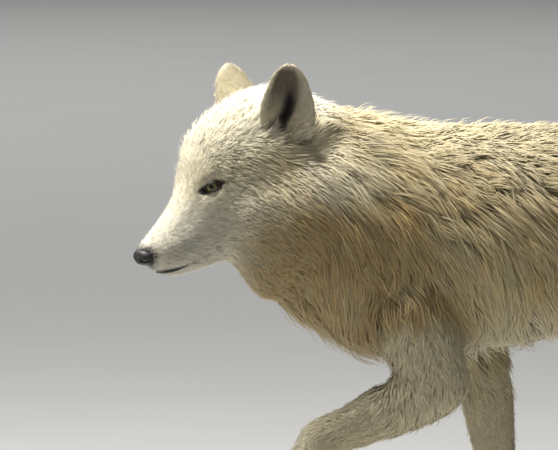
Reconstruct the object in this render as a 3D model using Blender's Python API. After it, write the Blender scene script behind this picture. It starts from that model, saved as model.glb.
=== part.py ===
"""A life-size arctic wolf, walking with its left forefoot lifted: the solids of its body.

The wolf faces -X, its left side is at -Y and +Z is up. It is lofted in one skin, then parted
by thin cuts into the pieces a person would name. The surface is the outline of the coat.
"""

import math
from dataclasses import dataclass

import bmesh
import bpy
from mathutils import Matrix, Vector

# Driving sizes, in metres.
WITHERS = 0.720  # height of the back over the shoulders, coat included
EYE_SPACING = 0.080  # between the two pupils
EYE_RADIUS = 0.0122
NOSE_REACH = 0.1160  # from between the eyes to the tip of the nose
EAR_LENGTH = 0.100
EAR_HALF = 0.0330
# How wide the ear is from its root to its tip, as shares of the widest.
EAR_WIDTHS = (0.60, 0.78, 0.92, 0.99, 1.0, 0.96, 0.88, 0.76, 0.60, 0.42, 0.17)
SAW = 0.0005  # thickness of the cuts that part the body
FIT = 0.0004  # gap round a claw or an eye

# How the head is carried, in degrees.
HEAD_TURN = 17.0  # to its left
HEAD_NOD = 19.5  # nose down
HEAD_TILT = 5.0  # left ear up
HEAD_PLACE = Vector((-0.2875, -0.0365, 0.6399))  # between the eyes

LEFT, RIGHT = -1.0, 1.0
VOXEL = 0.0045
MESH_SHARE = 0.0138  # of the fine skin's faces that are kept
SMOOTHING = 9
CHIP = 0.030  # a loose piece smaller than this is a chip off a cut, and goes


def clear_scene():
    """Removes whatever the startup file holds."""
    for obj in list(bpy.data.objects):
        bpy.data.objects.remove(obj)


def finish_of(name, colour, roughness, metallic=0.0):
    """A Principled material with one colour."""
    material = bpy.data.materials.new(name)
    material.use_nodes = True
    shader = material.node_tree.nodes["Principled BSDF"]
    shader.inputs["Base Color"].default_value = (*colour, 1.0)
    shader.inputs["Roughness"].default_value = roughness
    shader.inputs["Metallic"].default_value = metallic
    return material


def object_of(name, mesh_maker):
    """Links a new object whose mesh is what the bmesh `mesh_maker` holds."""
    bmesh.ops.recalc_face_normals(mesh_maker, faces=mesh_maker.faces)
    mesh = bpy.data.meshes.new(name)
    mesh_maker.to_mesh(mesh)
    mesh_maker.free()
    obj = bpy.data.objects.new(name, mesh)
    bpy.context.scene.collection.objects.link(obj)
    return obj


@dataclass
class Ring:
    """One cross-section of a loft: its centre, its axes, and how far it reaches along them."""

    centre: Vector
    up: Vector
    side: Vector
    rise: float
    drop: float
    half: float
    top_power: float = 2.0
    low_power: float = 2.0

    def points(self, count):
        """The ring's outline, a superellipse whose upper and lower halves differ."""
        found = []
        for step in range(count):
            angle = math.tau * step / count
            across, along = math.cos(angle), math.sin(angle)
            power = self.top_power if along > 0 else self.low_power
            reach = self.rise if along > 0 else self.drop
            wide = math.copysign(abs(across) ** (2 / power), across) * self.half
            high = math.copysign(abs(along) ** (2 / power), along) * reach
            found.append(self.centre + self.side * wide + self.up * high)
        return found


def between(a, b, c, d, t):
    """A Catmull-Rom value between b and c, for numbers or vectors."""
    return 0.5 * (
        2 * b + (c - a) * t + (2 * a - 5 * b + 4 * c - d) * t**2 + (3 * b - a - 3 * c + d) * t**3
    )


def eased(rings, steps):
    """The rings with `steps` smooth ones between each pair."""
    fields = ("centre", "up", "side", "rise", "drop", "half", "top_power", "low_power")
    found = []
    last = len(rings) - 1
    for i in range(last):
        four = [rings[max(0, i - 1)], rings[i], rings[i + 1], rings[min(last, i + 2)]]
        for step in range(steps):
            t = step / steps
            values = {f: between(*(getattr(r, f) for r in four), t) for f in fields}
            found.append(Ring(**values))
    return [*found, rings[-1]]


def loft(name, rings, count=28, steps=4):
    """A closed skin over the rings, with a cap at each end."""
    maker = bmesh.new()
    loops = [[maker.verts.new(p) for p in ring.points(count)] for ring in eased(rings, steps)]
    for first, second in zip(loops, loops[1:]):
        for i in range(count):
            j = (i + 1) % count
            maker.faces.new((first[i], first[j], second[j], second[i]))
    maker.faces.new(loops[0])
    maker.faces.new(loops[-1])
    return object_of(name, maker)


def limb(name, joints, count=20, steps=4):
    """A loft along a limb. Each joint is (centre, half depth front to back, half width)."""
    rings = []
    for i, (centre, depth, width) in enumerate(joints):
        before, after = joints[max(0, i - 1)][0], joints[min(len(joints) - 1, i + 1)][0]
        along = (after - before).normalized()
        side = Vector((0, 1, 0))
        side = (side - along * side.dot(along)).normalized()
        rings.append(Ring(centre, along.cross(side), side, depth, depth, width))
    return loft(name, rings, count, steps)


def ball(name, centre, radii, turn=None, rounds=4):
    """An ellipsoid."""
    maker = bmesh.new()
    bmesh.ops.create_icosphere(maker, subdivisions=rounds, radius=1.0)
    shape = Matrix.Diagonal((*radii, 1.0))
    place = Matrix.Translation(centre) @ (turn or Matrix.Identity(4)) @ shape
    bmesh.ops.transform(maker, matrix=place, verts=maker.verts)
    return object_of(name, maker)


# ---------------------------------------------------------------- the head's own axes


def head_matrix():
    """Carries the head's own axes to the wolf's: x forward, y to its left, z up, from mid-eye."""
    level = Matrix(((-1, 0, 0), (0, -1, 0), (0, 0, 1))).to_4x4()
    turn = Matrix.Rotation(math.radians(HEAD_TURN), 4, "Z")
    nod = Matrix.Rotation(math.radians(HEAD_NOD), 4, "Y")
    tilt = Matrix.Rotation(math.radians(HEAD_TILT), 4, "X")
    return Matrix.Translation(HEAD_PLACE) @ turn @ level @ nod @ tilt


HEAD = head_matrix()


def in_head(forward, left, up):
    """A place given along the head's own axes."""
    return HEAD @ Vector((forward, left, up))


def head_turned():
    """The head's rotation alone."""
    return HEAD.to_3x3().to_4x4()


def head_ring(forward, top, bottom, widest, half, top_power, low_power):
    """A cross-section of the head, square to its length."""
    axes = HEAD.to_3x3()
    return Ring(
        in_head(forward, 0, widest),
        axes @ Vector((0, 0, 1)),
        axes @ Vector((0, 1, 0)),
        top - widest,
        widest - bottom,
        half,
        top_power,
        low_power,
    )


def head_masses():
    """Muzzle, skull, brows, cheeks and the ruff behind them."""
    profile = [
        # forward, top, bottom, widest level, half width, powers
        (0.1010, -0.0370, -0.0735, -0.0560, 0.0195, 2.2, 2.2),
        (0.0945, -0.0325, -0.0840, -0.0590, 0.0270, 2.2, 2.2),
        (0.0820, -0.0265, -0.0925, -0.0600, 0.0325, 2.1, 2.3),
        (0.0600, -0.0135, -0.0955, -0.0590, 0.0360, 2.1, 2.3),
        (0.0400, -0.0010, -0.0965, -0.0570, 0.0390, 2.1, 2.3),
        (0.0300, 0.0075, -0.0970, -0.0540, 0.0415, 2.2, 2.3),
        (0.0180, 0.0210, -0.0980, -0.0500, 0.0450, 2.5, 2.2),
        (0.0080, 0.0370, -0.0990, -0.0450, 0.0490, 2.6, 2.2),
        (-0.0060, 0.0520, -0.1020, -0.0400, 0.0570, 2.6, 2.1),
        (-0.0300, 0.0665, -0.1080, -0.0330, 0.0700, 2.5, 2.0),
        (-0.0550, 0.0770, -0.1140, -0.0280, 0.0780, 2.4, 2.0),
        (-0.0850, 0.0840, -0.1180, -0.0260, 0.0830, 2.3, 2.0),
        (-0.1150, 0.0845, -0.1180, -0.0260, 0.0850, 2.2, 2.0),
        (-0.1450, 0.0740, -0.1140, -0.0280, 0.0860, 2.1, 2.0),
        (-0.1800, 0.0520, -0.1020, -0.0300, 0.0800, 2.0, 2.0),
    ]
    masses = [loft("skull", [head_ring(*row) for row in profile], count=36)]
    for side in (LEFT, RIGHT):
        left = -side
        masses += [
            ball("brow", in_head(0.002, 0.030 * left, 0.014), (0.018, 0.016, 0.010), head_turned()),
            ball("cheek", in_head(-0.088, 0.050 * left, -0.050), (0.088, 0.044, 0.056), head_turned()),
            ball("temple", in_head(-0.040, 0.036 * left, -0.012), (0.046, 0.030, 0.034), head_turned()),
            ball("ear_root", in_head(-0.108, 0.052 * left, 0.038), (0.034, 0.022, 0.034), head_turned()),
            ball("jowl", in_head(0.030, 0.020 * left, -0.068), (0.052, 0.018, 0.022), head_turned()),
        ]
    return masses


# ---------------------------------------------------------------- neck and trunk


def body_ring(top, bottom, half, aside=0.0, widest=0.5, top_power=2.0, low_power=2.0):
    """A cross-section of the neck or trunk, between a point of the back and one of the belly."""
    high = Vector((top[0], aside, top[1]))
    low = Vector((bottom[0], aside, bottom[1]))
    up = (high - low).normalized()
    centre = high.lerp(low, widest)
    return Ring(
        centre, up, Vector((0, 1, 0)), (high - centre).length, (centre - low).length, half,
        top_power, low_power,
    )


def trunk_masses():
    """Neck and trunk in one loft, from behind the head to the root of the tail."""
    back = WITHERS
    rings = [
        body_ring((-0.178, back + 0.004), (-0.246, 0.545), 0.080, -0.026),
        body_ring((-0.132, back + 0.021), (-0.204, 0.487), 0.106, -0.013),
        body_ring((-0.072, back + 0.016), (-0.138, 0.449), 0.120, -0.004),
        body_ring((-0.008, back + 0.004), (-0.064, 0.412), 0.126, 0.0, 0.52, 1.95, 1.9),
        body_ring((0.075, back), (0.040, 0.410), 0.128, 0.0, 0.52, 1.95, 1.9),
        body_ring((0.170, back + 0.001), (0.150, 0.428), 0.131, 0.0, 0.50, 2.0, 2.0),
        body_ring((0.270, back - 0.003), (0.265, 0.440), 0.130, 0.0, 0.50, 2.0, 2.1),
        body_ring((0.370, back - 0.008), (0.375, 0.456), 0.123, 0.0, 0.50, 2.0, 2.1),
        body_ring((0.470, back - 0.007), (0.475, 0.480), 0.110, 0.0, 0.48, 2.0, 2.0),
        body_ring((0.560, back - 0.010), (0.560, 0.498), 0.103, 0.0, 0.46, 2.0, 2.0),
        body_ring((0.640, back - 0.024), (0.635, 0.490), 0.094, 0.0, 0.46, 2.0, 2.0),
        body_ring((0.700, back - 0.054), (0.695, 0.505), 0.074, 0.0, 0.46, 2.0, 2.0),
        body_ring((0.738, back - 0.102), (0.728, 0.560), 0.034, 0.0, 0.48, 2.0, 2.0),
    ]
    return [loft("trunk", rings, count=40)]


def tail_masses():
    """The tail, hanging relaxed, thickest a third of the way down."""
    line = [
        ((0.665, 0.000, 0.630), 0.032),
        ((0.740, 0.002, 0.626), 0.035),
        ((0.790, 0.006, 0.578), 0.041),
        ((0.817, 0.010, 0.505), 0.048),
        ((0.828, 0.014, 0.425), 0.050),
        ((0.826, 0.016, 0.350), 0.043),
        ((0.817, 0.016, 0.290), 0.029),
        ((0.808, 0.015, 0.248), 0.009),
    ]
    return [limb("tail", [(Vector(place), size, size * 0.92) for place, size in line])]


# ---------------------------------------------------------------- legs


@dataclass
class Foot:
    """A paw: where its pad and toes lie, and which way they point."""

    name: str
    ankle: Vector
    heel: Vector
    toes_out: Vector
    spread: float
    flat: bool


TOE_OFFSETS = (-1.5, -0.5, 0.5, 1.5)


def toe_line(foot, place):
    """(root, tip) of one toe. The middle toes reach further than the outer ones."""
    forward = foot.toes_out.normalized()
    across = Vector((0, 1, 0))
    middle = abs(place) < 1
    reach = 0.058 if middle else 0.044
    root = foot.heel + across * place * foot.spread * 0.62
    tip = foot.heel + across * place * foot.spread + forward * reach
    return root, tip


def paw_masses(foot):
    """The metacarpal pad, four toes and the low part of the foot above them."""
    forward = foot.toes_out.normalized()
    masses = [ball("pad", foot.heel, (0.027, 0.027, 0.0205))]
    for place in TOE_OFFSETS:
        root, tip = toe_line(foot, place)
        lift = Vector((0, 0, -0.001)) if foot.flat else Vector((0, 0, 0))
        joints = [
            (root, 0.0155, 0.0125),
            (root.lerp(tip, 0.5), 0.0165, 0.0122),
            (tip + lift, 0.0140, 0.0112),
            (tip + forward * 0.008 + lift * 3, 0.0075, 0.0065),
        ]
        masses.append(limb("toe", joints, count=14))
    return masses


def foreleg(side, bulk, shoulder, elbow, carpus, knuckles):
    """Shoulder, upper arm, forearm and metacarpus of one foreleg."""
    arm = (elbow - shoulder).normalized()
    fore = (carpus - elbow).normalized()
    hand = (knuckles - carpus).normalized()
    joints = [
        (shoulder - arm * 0.060, 0.030, 0.012),
        (shoulder - arm * 0.030, 0.050, 0.027),
        (shoulder, 0.060, 0.037),
        (shoulder.lerp(elbow, 0.5), 0.054, 0.038),
        (elbow, 0.043 * bulk, 0.034),
        (elbow.lerp(carpus, 0.22), 0.038 * bulk, 0.032),
        (elbow.lerp(carpus, 0.50), 0.031 * bulk, 0.027),
        (elbow.lerp(carpus, 0.78), 0.026 * bulk, 0.024),
        (carpus - fore * 0.006, 0.0265 * bulk, 0.026),
        (carpus + hand * 0.020, 0.0245, 0.025),
        (carpus.lerp(knuckles, 0.62), 0.0215, 0.0240),
        (knuckles, 0.0200, 0.0270),
    ]
    point_of_elbow = elbow - fore * 0.024 + Vector((0.002, 0, 0.004))
    return [
        limb("foreleg", joints),
        ball("elbow", point_of_elbow, (0.019, 0.022, 0.026)),
        ball("shoulder", shoulder + Vector((0.035, -0.020 * side, 0.055)), (0.080, 0.042, 0.120)),
    ]


def hind_leg(side, bulk, hip, knee, hock, knuckles):
    """Thigh, shank and metatarsus of one hind leg."""
    thigh = (knee - hip).normalized()
    foot = (knuckles - hock).normalized()
    joints = [
        (hip - thigh * 0.090, 0.040, 0.010),
        (hip - thigh * 0.045, 0.070, 0.026),
        (hip, 0.086, 0.036),
        (hip.lerp(knee, 0.40), 0.086, 0.044),
        (hip.lerp(knee, 0.78), 0.068, 0.042),
        (knee + (hock - knee) * 0.10, 0.055, 0.037),
        (knee.lerp(hock, 0.38), 0.041 * bulk, 0.031),
        (knee.lerp(hock, 0.70), 0.028 * bulk, 0.024),
        (hock, 0.0260 * bulk, 0.0215),
        (hock + foot * 0.030, 0.0235, 0.0205),
        (hock.lerp(knuckles, 0.60), 0.0200, 0.0205),
        (knuckles, 0.0195, 0.0250),
    ]
    point_of_hock = hock - foot * 0.017 + Vector((0.004, 0, 0))
    return [
        limb("hind_leg", joints),
        ball("heel", point_of_hock, (0.0165, 0.0155, 0.0210)),
        ball("haunch", hip + Vector((0.030, -0.022 * side, -0.010)), (0.090, 0.038, 0.110)),
    ]


LEGS = {
    "fore_left": {
        "joints": [(-0.034, -0.084, 0.505), (0.006, -0.092, 0.384), (-0.148, -0.088, 0.319),
                   (-0.190, -0.086, 0.250)],
        "toes_out": (-0.35, 0.0, -0.94), "flat": False, "side": LEFT, "spread": 0.0175, "bulk": 1.15,
    },
    "fore_right": {
        "joints": [(0.022, 0.084, 0.505), (0.101, 0.082, 0.400), (0.130, 0.058, 0.172),
                   (0.114, 0.042, 0.058)],
        "toes_out": (-1.0, 0.0, 0.0), "flat": True, "side": RIGHT, "spread": 0.0205, "bulk": 0.97,
    },
    "hind_left": {
        "joints": [(0.600, -0.074, 0.575), (0.462, -0.098, 0.398), (0.474, -0.098, 0.190),
                   (0.380, -0.094, 0.054)],
        "toes_out": (-1.0, 0.0, 0.0), "flat": True, "side": LEFT, "spread": 0.0190, "bulk": 1.0,
    },
    "hind_right": {
        "joints": [(0.608, 0.074, 0.575), (0.558, 0.094, 0.368), (0.742, 0.088, 0.222),
                   (0.778, 0.082, 0.064)],
        "toes_out": (-1.0, 0.0, 0.0), "flat": True, "side": RIGHT, "spread": 0.0190, "bulk": 1.0,
    },
}
PAD_HEIGHT = 0.0175  # of the middle of a paw on the floor


def foot_of(name):
    """The paw at the end of a leg."""
    leg = LEGS[name]
    ankle, knuckles = Vector(leg["joints"][2]), Vector(leg["joints"][3])
    out = Vector(leg["toes_out"])
    if leg["flat"]:
        heel = Vector((knuckles.x, knuckles.y, PAD_HEIGHT)) + out * 0.018
    else:
        heel = knuckles + out.normalized() * 0.022
    return Foot(name, ankle, heel, out, leg["spread"], leg["flat"])


def leg_masses(name):
    """All of one leg, from the shoulder or hip to the toes."""
    leg = LEGS[name]
    joints = [Vector(place) for place in leg["joints"]]
    make = foreleg if name.startswith("fore") else hind_leg
    foot = foot_of(name)
    pastern = limb("pastern", [
        (joints[3] - (foot.heel - joints[3]) * 0.2, 0.0195, 0.0250),
        (joints[3].lerp(foot.heel, 0.6), 0.0210, 0.0285),
        (foot.heel, 0.0190, 0.0280),
    ])
    return [*make(leg["side"], leg["bulk"], *joints), pastern, *paw_masses(foot)]


# ---------------------------------------------------------------- one skin from the masses


def join(objects, name):
    """One object that holds every mesh of `objects`."""
    maker = bmesh.new()
    for obj in objects:
        maker.from_mesh(obj.data)
        bpy.data.objects.remove(obj)
    return object_of(name, maker)


def applied(obj):
    """Replaces the object's mesh by what its modifiers make of it."""
    bpy.context.view_layer.update()
    graph = bpy.context.evaluated_depsgraph_get()
    mesh = bpy.data.meshes.new_from_object(obj.evaluated_get(graph))
    obj.modifiers.clear()
    obj.data = mesh
    return obj


def blend_masses(obj):
    """Runs the masses together: a voxel skin, smoothed."""
    remesh = obj.modifiers.new("blend", "REMESH")
    remesh.mode = "VOXEL"
    remesh.voxel_size = VOXEL
    smooth = obj.modifiers.new("even", "SMOOTH")
    smooth.factor = 0.5
    smooth.iterations = SMOOTHING
    return applied(obj)


def thin_out(obj):
    """Keeps small faces on the head and paws, and lets the large smooth parts go coarse."""
    group = obj.vertex_groups.new(name="plain")
    head_end = in_head(-0.13, 0, 0).x
    for vertex in obj.data.vertices:
        place = vertex.co
        fine = place.x < head_end and place.z > 0.40
        paw = place.z < 0.05 or (place.x < -0.12 and place.z < 0.36)
        weight = 0.50 if fine else (0.80 if paw else 1.0)
        group.add([vertex.index], weight, "REPLACE")
    decimate = obj.modifiers.new("coarse", "DECIMATE")
    decimate.ratio = MESH_SHARE
    decimate.vertex_group = "plain"
    decimate.vertex_group_factor = 0.00012
    decimate.use_collapse_triangulate = True
    applied(obj)
    obj.vertex_groups.clear()
    return obj


def boolean(obj, other, operation):
    """Joins or cuts the object by another one, which is then removed."""
    step = obj.modifiers.new(operation.lower(), "BOOLEAN")
    step.operation = operation
    step.solver = "EXACT"
    step.object = other
    applied(obj)
    bpy.data.objects.remove(other)
    return obj


# ---------------------------------------------------------------- ears

# Where each ear grows, which way it stands and which way it opens, along the head's own axes.
# The left is turned further forward, and the right listens to its own side.
EAR_SET = {
    LEFT: ((-0.105, 0.067, 0.030), (-0.028, 0.020, 0.083), (0.42, 0.90, 0.0)),
    RIGHT: ((-0.118, -0.061, 0.030), (-0.0105, -0.0235, 0.0875), (0.10, -0.99, 0.0)),
}


def ear(side):
    """One cupped ear: a leaf-shaped shell, open to the side and front."""
    root, tip_way, open_way = EAR_SET[side]
    root, tip_way = in_head(*root), (HEAD.to_3x3() @ Vector(tip_way)).normalized()
    open_way = HEAD.to_3x3() @ Vector(open_way)
    open_way = (open_way - tip_way * open_way.dot(tip_way)).normalized()
    across = tip_way.cross(open_way)
    levels, turns, wall = len(EAR_WIDTHS) - 1, 10, 0.0034
    rows = []
    for level in range(levels + 1):
        t = level / levels
        half = EAR_HALF * EAR_WIDTHS[level]
        cup = 0.0230 * (1 - t) ** 0.8 + 0.0040
        centre = root + tip_way * (EAR_LENGTH * t - 0.012)
        front, back = [], []
        for turn in range(turns + 1):
            s = -1 + 2 * turn / turns
            deep = cup * (1 - s * s)
            here = centre + across * (half * s) - open_way * (deep - cup * 0.5)
            out = (across * (s * cup * 2) - open_way * (half + 0.004)).normalized()
            thick = wall * (0.55 + 0.45 * (1 - abs(s))) * (1 - 0.35 * t)
            front.append(here - out * thick)
            back.append(here + out * thick)
        rows.append([*front, *reversed(back)])
    maker = bmesh.new()
    loops = [[maker.verts.new(p) for p in row] for row in rows]
    count = len(loops[0])
    for first, second in zip(loops, loops[1:]):
        for i in range(count):
            j = (i + 1) % count
            maker.faces.new((first[i], first[j], second[j], second[i]))
    for loop in (loops[0], loops[-1]):
        half = count // 2
        for i in range(half - 1):
            maker.faces.new((loop[i], loop[i + 1], loop[count - 2 - i], loop[count - 1 - i]))
    return object_of("ear", maker)


# ---------------------------------------------------------------- eyes, nose and claws


def eye_place(side):
    """The middle of an eyeball."""
    return in_head(-0.0020, -side * (EYE_SPACING / 2 - 0.0045), 0.000)


def gaze(side):
    """Where the eye looks: forward and to its side."""
    return (HEAD.to_3x3() @ Vector((0.70, -0.71 * side, 0.05))).normalized()


def eye_socket(side):
    """What is cut away round an eye: the slit between the lids, and the eyeball's own room."""
    look = gaze(side)
    slit_way = HEAD.to_3x3() @ Vector((0.66, 0.60 * side, -0.36))
    slit_way = (slit_way - look * slit_way.dot(look)).normalized()
    tall = look.cross(slit_way)
    turn = Matrix((look, slit_way, tall)).transposed().to_4x4()
    slit = ball("slit", eye_place(side) + look * 0.0115, (0.0150, 0.0150, 0.0085), turn, rounds=3)
    room = ball("room", eye_place(side), [EYE_RADIUS + FIT] * 3, rounds=3)
    return boolean(slit, room, "UNION")


def eyeball(side, name):
    """A round eye."""
    maker = bmesh.new()
    bmesh.ops.create_uvsphere(maker, u_segments=14, v_segments=8, radius=EYE_RADIUS)
    to_gaze = gaze(side).to_track_quat("Z", "Y").to_matrix().to_4x4()
    place = Matrix.Translation(eye_place(side)) @ to_gaze
    bmesh.ops.transform(maker, matrix=place, verts=maker.verts)
    return object_of(name, maker)


def nose_pad(grown=0.0):
    """The bare nose, wider than high, with two nostrils; or its room, `grown` larger all round."""
    rows = [
        (0.0930, -0.0350, -0.0670, -0.0500, 0.0140, 2.3, 1.8),
        (0.0990, -0.0350, -0.0680, -0.0505, 0.0168, 2.5, 1.7),
        (0.1070, -0.0365, -0.0675, -0.0505, 0.0178, 2.6, 1.7),
        (0.1125, -0.0400, -0.0645, -0.0510, 0.0162, 2.4, 1.7),
        (NOSE_REACH, -0.0455, -0.0605, -0.0515, 0.0108, 2.2, 1.8),
    ]
    rings = []
    for number, (forward, top, bottom, widest, half, top_power, low_power) in enumerate(rows):
        forward += -grown if number == 0 else grown
        rings.append(head_ring(forward, top + grown, bottom - grown, widest, half + grown,
                               top_power, low_power))
    pad = loft("nose", rings, count=14, steps=1)
    if grown:
        return pad
    for side in (LEFT, RIGHT):
        hole = ball("nostril", in_head(0.1122, -side * 0.0098, -0.0520), (0.0090, 0.0046, 0.0050),
                    head_turned() @ Matrix.Rotation(math.radians(-side * 24), 4, "Z"), rounds=2)
        boolean(pad, hole, "DIFFERENCE")
    return pad


def claw_shape(foot, place, grown=0.0):
    """A short curved claw out of the end of a toe, `grown` thicker all round."""
    _, tip = toe_line(foot, place)
    forward = foot.toes_out.normalized()
    over = forward.cross(Vector((0, 1, 0)))
    over = over if over.z > 0 or not foot.flat else -over
    length, steps = 0.017, 3
    joints = []
    for step in range(steps + 1):
        t = step / steps
        bend = over * (0.0030 - 0.0085 * t**2)
        centre = tip + forward * (0.004 + length * t) + bend
        size = 0.0044 * (1 - t) ** 0.6 + 0.0006
        joints.append((centre, size * 1.15 + grown, size * 0.8 + grown))
    return limb("claw", joints, count=6, steps=1)


# ---------------------------------------------------------------- thin cuts


def saw(centre, normal, radius):
    """A thin disc that parts the body where it passes, and its middle."""
    maker = bmesh.new()
    bmesh.ops.create_cone(maker, cap_ends=True, segments=32, radius1=radius, radius2=radius,
                          depth=SAW)
    turn = Vector(normal).normalized().to_track_quat("Z", "Y").to_matrix().to_4x4()
    bmesh.ops.transform(maker, matrix=Matrix.Translation(centre) @ turn, verts=maker.verts)
    return Vector(centre), object_of("saw", maker)


def jaw_saw():
    """The bent sheet that parts the lower jaw along the lips and behind their corners."""
    line = [(0.135, -0.0690), (0.100, -0.0745), (0.080, -0.0790), (0.050, -0.0785),
            (0.026, -0.0715), (0.018, -0.0760), (0.008, -0.1400)]
    maker = bmesh.new()
    rows = []
    for step, (forward, up) in enumerate(line):
        before, after = line[max(0, step - 1)], line[min(len(line) - 1, step + 1)]
        way = Vector((after[0] - before[0], after[1] - before[1])).normalized()
        off = Vector((-way.y, way.x)) * SAW / 2
        rows.append([
            maker.verts.new(in_head(forward + off.x * s, 0.09 * side, up + off.y * s))
            for s, side in ((1, 1), (1, -1), (-1, -1), (-1, 1))
        ])
    for first, second in zip(rows, rows[1:]):
        for i in range(4):
            j = (i + 1) % 4
            maker.faces.new((first[i], first[j], second[j], second[i]))
    maker.faces.new(rows[0])
    maker.faces.new(rows[-1])
    return in_head(0.030, 0, -0.074), object_of("saw", maker)


def at_joint(name, index, share=0.0):
    """A leg's joint, or a place a share of the way to the next one."""
    joints = [Vector(place) for place in LEGS[name]["joints"]]
    if share:
        return joints[index].lerp(joints[index + 1], share)
    return joints[index]


def leg_saws(name):
    """The cuts that part a leg from the trunk and into three lengths."""
    side = LEGS[name]["side"]
    upper = at_joint(name, 1) - at_joint(name, 0)
    lower = at_joint(name, 2) - at_joint(name, 1)
    foot = at_joint(name, 3) - at_joint(name, 2)
    slope = Vector((0, 0.86 * side, -0.68))
    if name.startswith("fore"):
        top = Vector((-0.008 if side == LEFT else 0.058, 0.086 * side, 0.449))
        return [
            saw(top, slope, 0.086),
            saw(at_joint(name, 1, 0.42 if side == LEFT else 0.20), lower, 0.052),
            saw(at_joint(name, 2, 0.02), lower.normalized() + foot.normalized(), 0.045),
        ]
    top = Vector((at_joint(name, 0, 0.25).x, 0.086 * side, 0.500))
    return [
        saw(top, Vector((0, 0.90 * side, -0.62)), 0.150),
        saw(at_joint(name, 1, 0.10), upper.normalized() + lower.normalized() * 1.2, 0.080),
        saw(at_joint(name, 2, 0.04), lower.normalized() + foot.normalized(), 0.046),
    ]


def body_saws():
    """The cuts across the head, neck, trunk and tail."""
    axes = HEAD.to_3x3()
    cuts = [
        saw(Vector((-0.152, -0.015, 0.618)), Vector((0.92, 0.16, -0.353)), 0.172),
        saw(Vector((-0.055, 0, 0.575)), Vector((1, 0, -0.30)), 0.215),
        saw(Vector((0.440, 0, 0.590)), Vector((1, 0, 0)), 0.190),
        saw(Vector((0.770, 0.004, 0.605)), Vector((0.67, 0, -0.74)), 0.057),
        saw(Vector((0.825, 0.013, 0.440)), Vector((0.0, 0, 1)), 0.075),
    ]
    for side in (LEFT, RIGHT):
        root = in_head(-0.114, -side * 0.070, 0.058)
        cuts.append(saw(root, axes @ Vector((-0.30, -0.60 * side, 0.90)), 0.046))
    return cuts


# Each piece of the parted body is known by the place that its middle is nearest to.
PIECES = {
    "head": in_head(-0.045, 0, -0.010),
    "jaw": in_head(0.055, 0, -0.088),
    "ear_left": in_head(-0.125, 0.070, 0.085),
    "ear_right": in_head(-0.125, -0.070, 0.085),
    "neck": Vector((-0.120, -0.008, 0.600)),
    "chest": Vector((0.200, 0, 0.575)),
    "loin": Vector((0.570, 0, 0.605)),
    "tail_root": Vector((0.800, 0.008, 0.540)),
    "tail_tip": Vector((0.820, 0.016, 0.350)),
    "arm_left": Vector((-0.010, -0.095, 0.410)),
    "forearm_left": Vector((-0.080, -0.090, 0.348)),
    "forepaw_left": Vector((-0.190, -0.086, 0.240)),
    "arm_right": Vector((0.070, 0.088, 0.410)),
    "forearm_right": Vector((0.115, 0.070, 0.260)),
    "forepaw_right": Vector((0.085, 0.046, 0.060)),
    "thigh_left": Vector((0.515, -0.100, 0.440)),
    "shank_left": Vector((0.475, -0.098, 0.290)),
    "hindpaw_left": Vector((0.410, -0.094, 0.075)),
    "thigh_right": Vector((0.590, 0.098, 0.450)),
    "shank_right": Vector((0.655, 0.090, 0.290)),
    "hindpaw_right": Vector((0.765, 0.083, 0.090)),
}


def islands(obj):
    """Splits an object into one per closed shell, and leaves out chips off a cut."""
    source = bmesh.new()
    source.from_mesh(obj.data)
    waiting = set(source.verts)
    found = []
    while waiting:
        shell, edge = set(), {waiting.pop()}
        while edge:
            shell |= edge
            edge = {e.other_vert(v) for v in edge for e in v.link_edges} - shell
        waiting -= shell
        corners = [vertex.co for vertex in shell]
        reach = max(max(c[i] for c in corners) - min(c[i] for c in corners) for i in range(3))
        if reach < CHIP:
            continue
        maker = bmesh.new()
        twin = {vertex: maker.verts.new(vertex.co) for vertex in sorted(shell, key=lambda v: v.index)}
        faces = [face for face in source.faces if face.verts[0] in shell]
        for face in faces:
            maker.faces.new([twin[vertex] for vertex in face.verts])
        found.append(object_of("piece", maker))
    source.free()
    bpy.data.objects.remove(obj)
    return found


def reaches(obj, place):
    """Whether a place lies within the box round an object."""
    corners = [vertex.co for vertex in obj.data.vertices]
    return all(
        min(c[i] for c in corners) < place[i] < max(c[i] for c in corners) for i in range(3)
    )


def part_body(body, cuts):
    """Saws the body at each cut in turn, then names every piece. A cut is (its middle, saw)."""
    pieces = [body]
    for middle, cut in cuts:
        touched = [piece for piece in pieces if reaches(piece, middle)]
        pieces = [piece for piece in pieces if piece not in touched]
        for number, piece in enumerate(touched, start=1):
            blade = cut if number == len(touched) else cut.copy()
            if blade is not cut:
                bpy.context.scene.collection.objects.link(blade)
            pieces += islands(boolean(piece, blade, "DIFFERENCE"))
    for piece in pieces:
        corners = [vertex.co for vertex in piece.data.vertices]
        middle = sum(corners, Vector()) / len(corners)
        piece.name = min(PIECES, key=lambda key: (PIECES[key] - middle).length)
    return pieces


def flatten_soles(body):
    """Takes off whatever lies below the floor, so that the paws stand on small flats."""
    maker = bmesh.new()
    bmesh.ops.create_cube(maker, size=1.0)
    under = Matrix.Translation((0.3, 0, -0.1)) @ Matrix.Diagonal((2.0, 1.0, 0.2, 1.0))
    bmesh.ops.transform(maker, matrix=under, verts=maker.verts)
    return boolean(body, object_of("under_floor", maker), "DIFFERENCE")


def stand_on_origin():
    """Moves everything so that the origin is the middle of the wolf's box, on the floor."""
    solids = [obj for obj in bpy.data.objects if obj.type == "MESH" and not obj.hide_render]
    corners = [vertex.co for obj in solids for vertex in obj.data.vertices]
    low = Vector([min(c[i] for c in corners) for i in range(3)])
    high = Vector([max(c[i] for c in corners) for i in range(3)])
    shift = Vector(((low.x + high.x) / 2, (low.y + high.y) / 2, low.z))
    for obj in solids:
        obj.data.transform(Matrix.Translation(-shift))
    print("moved by", [round(-value, 5) for value in shift], "size", [round(v, 4) for v in high - low])


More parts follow.
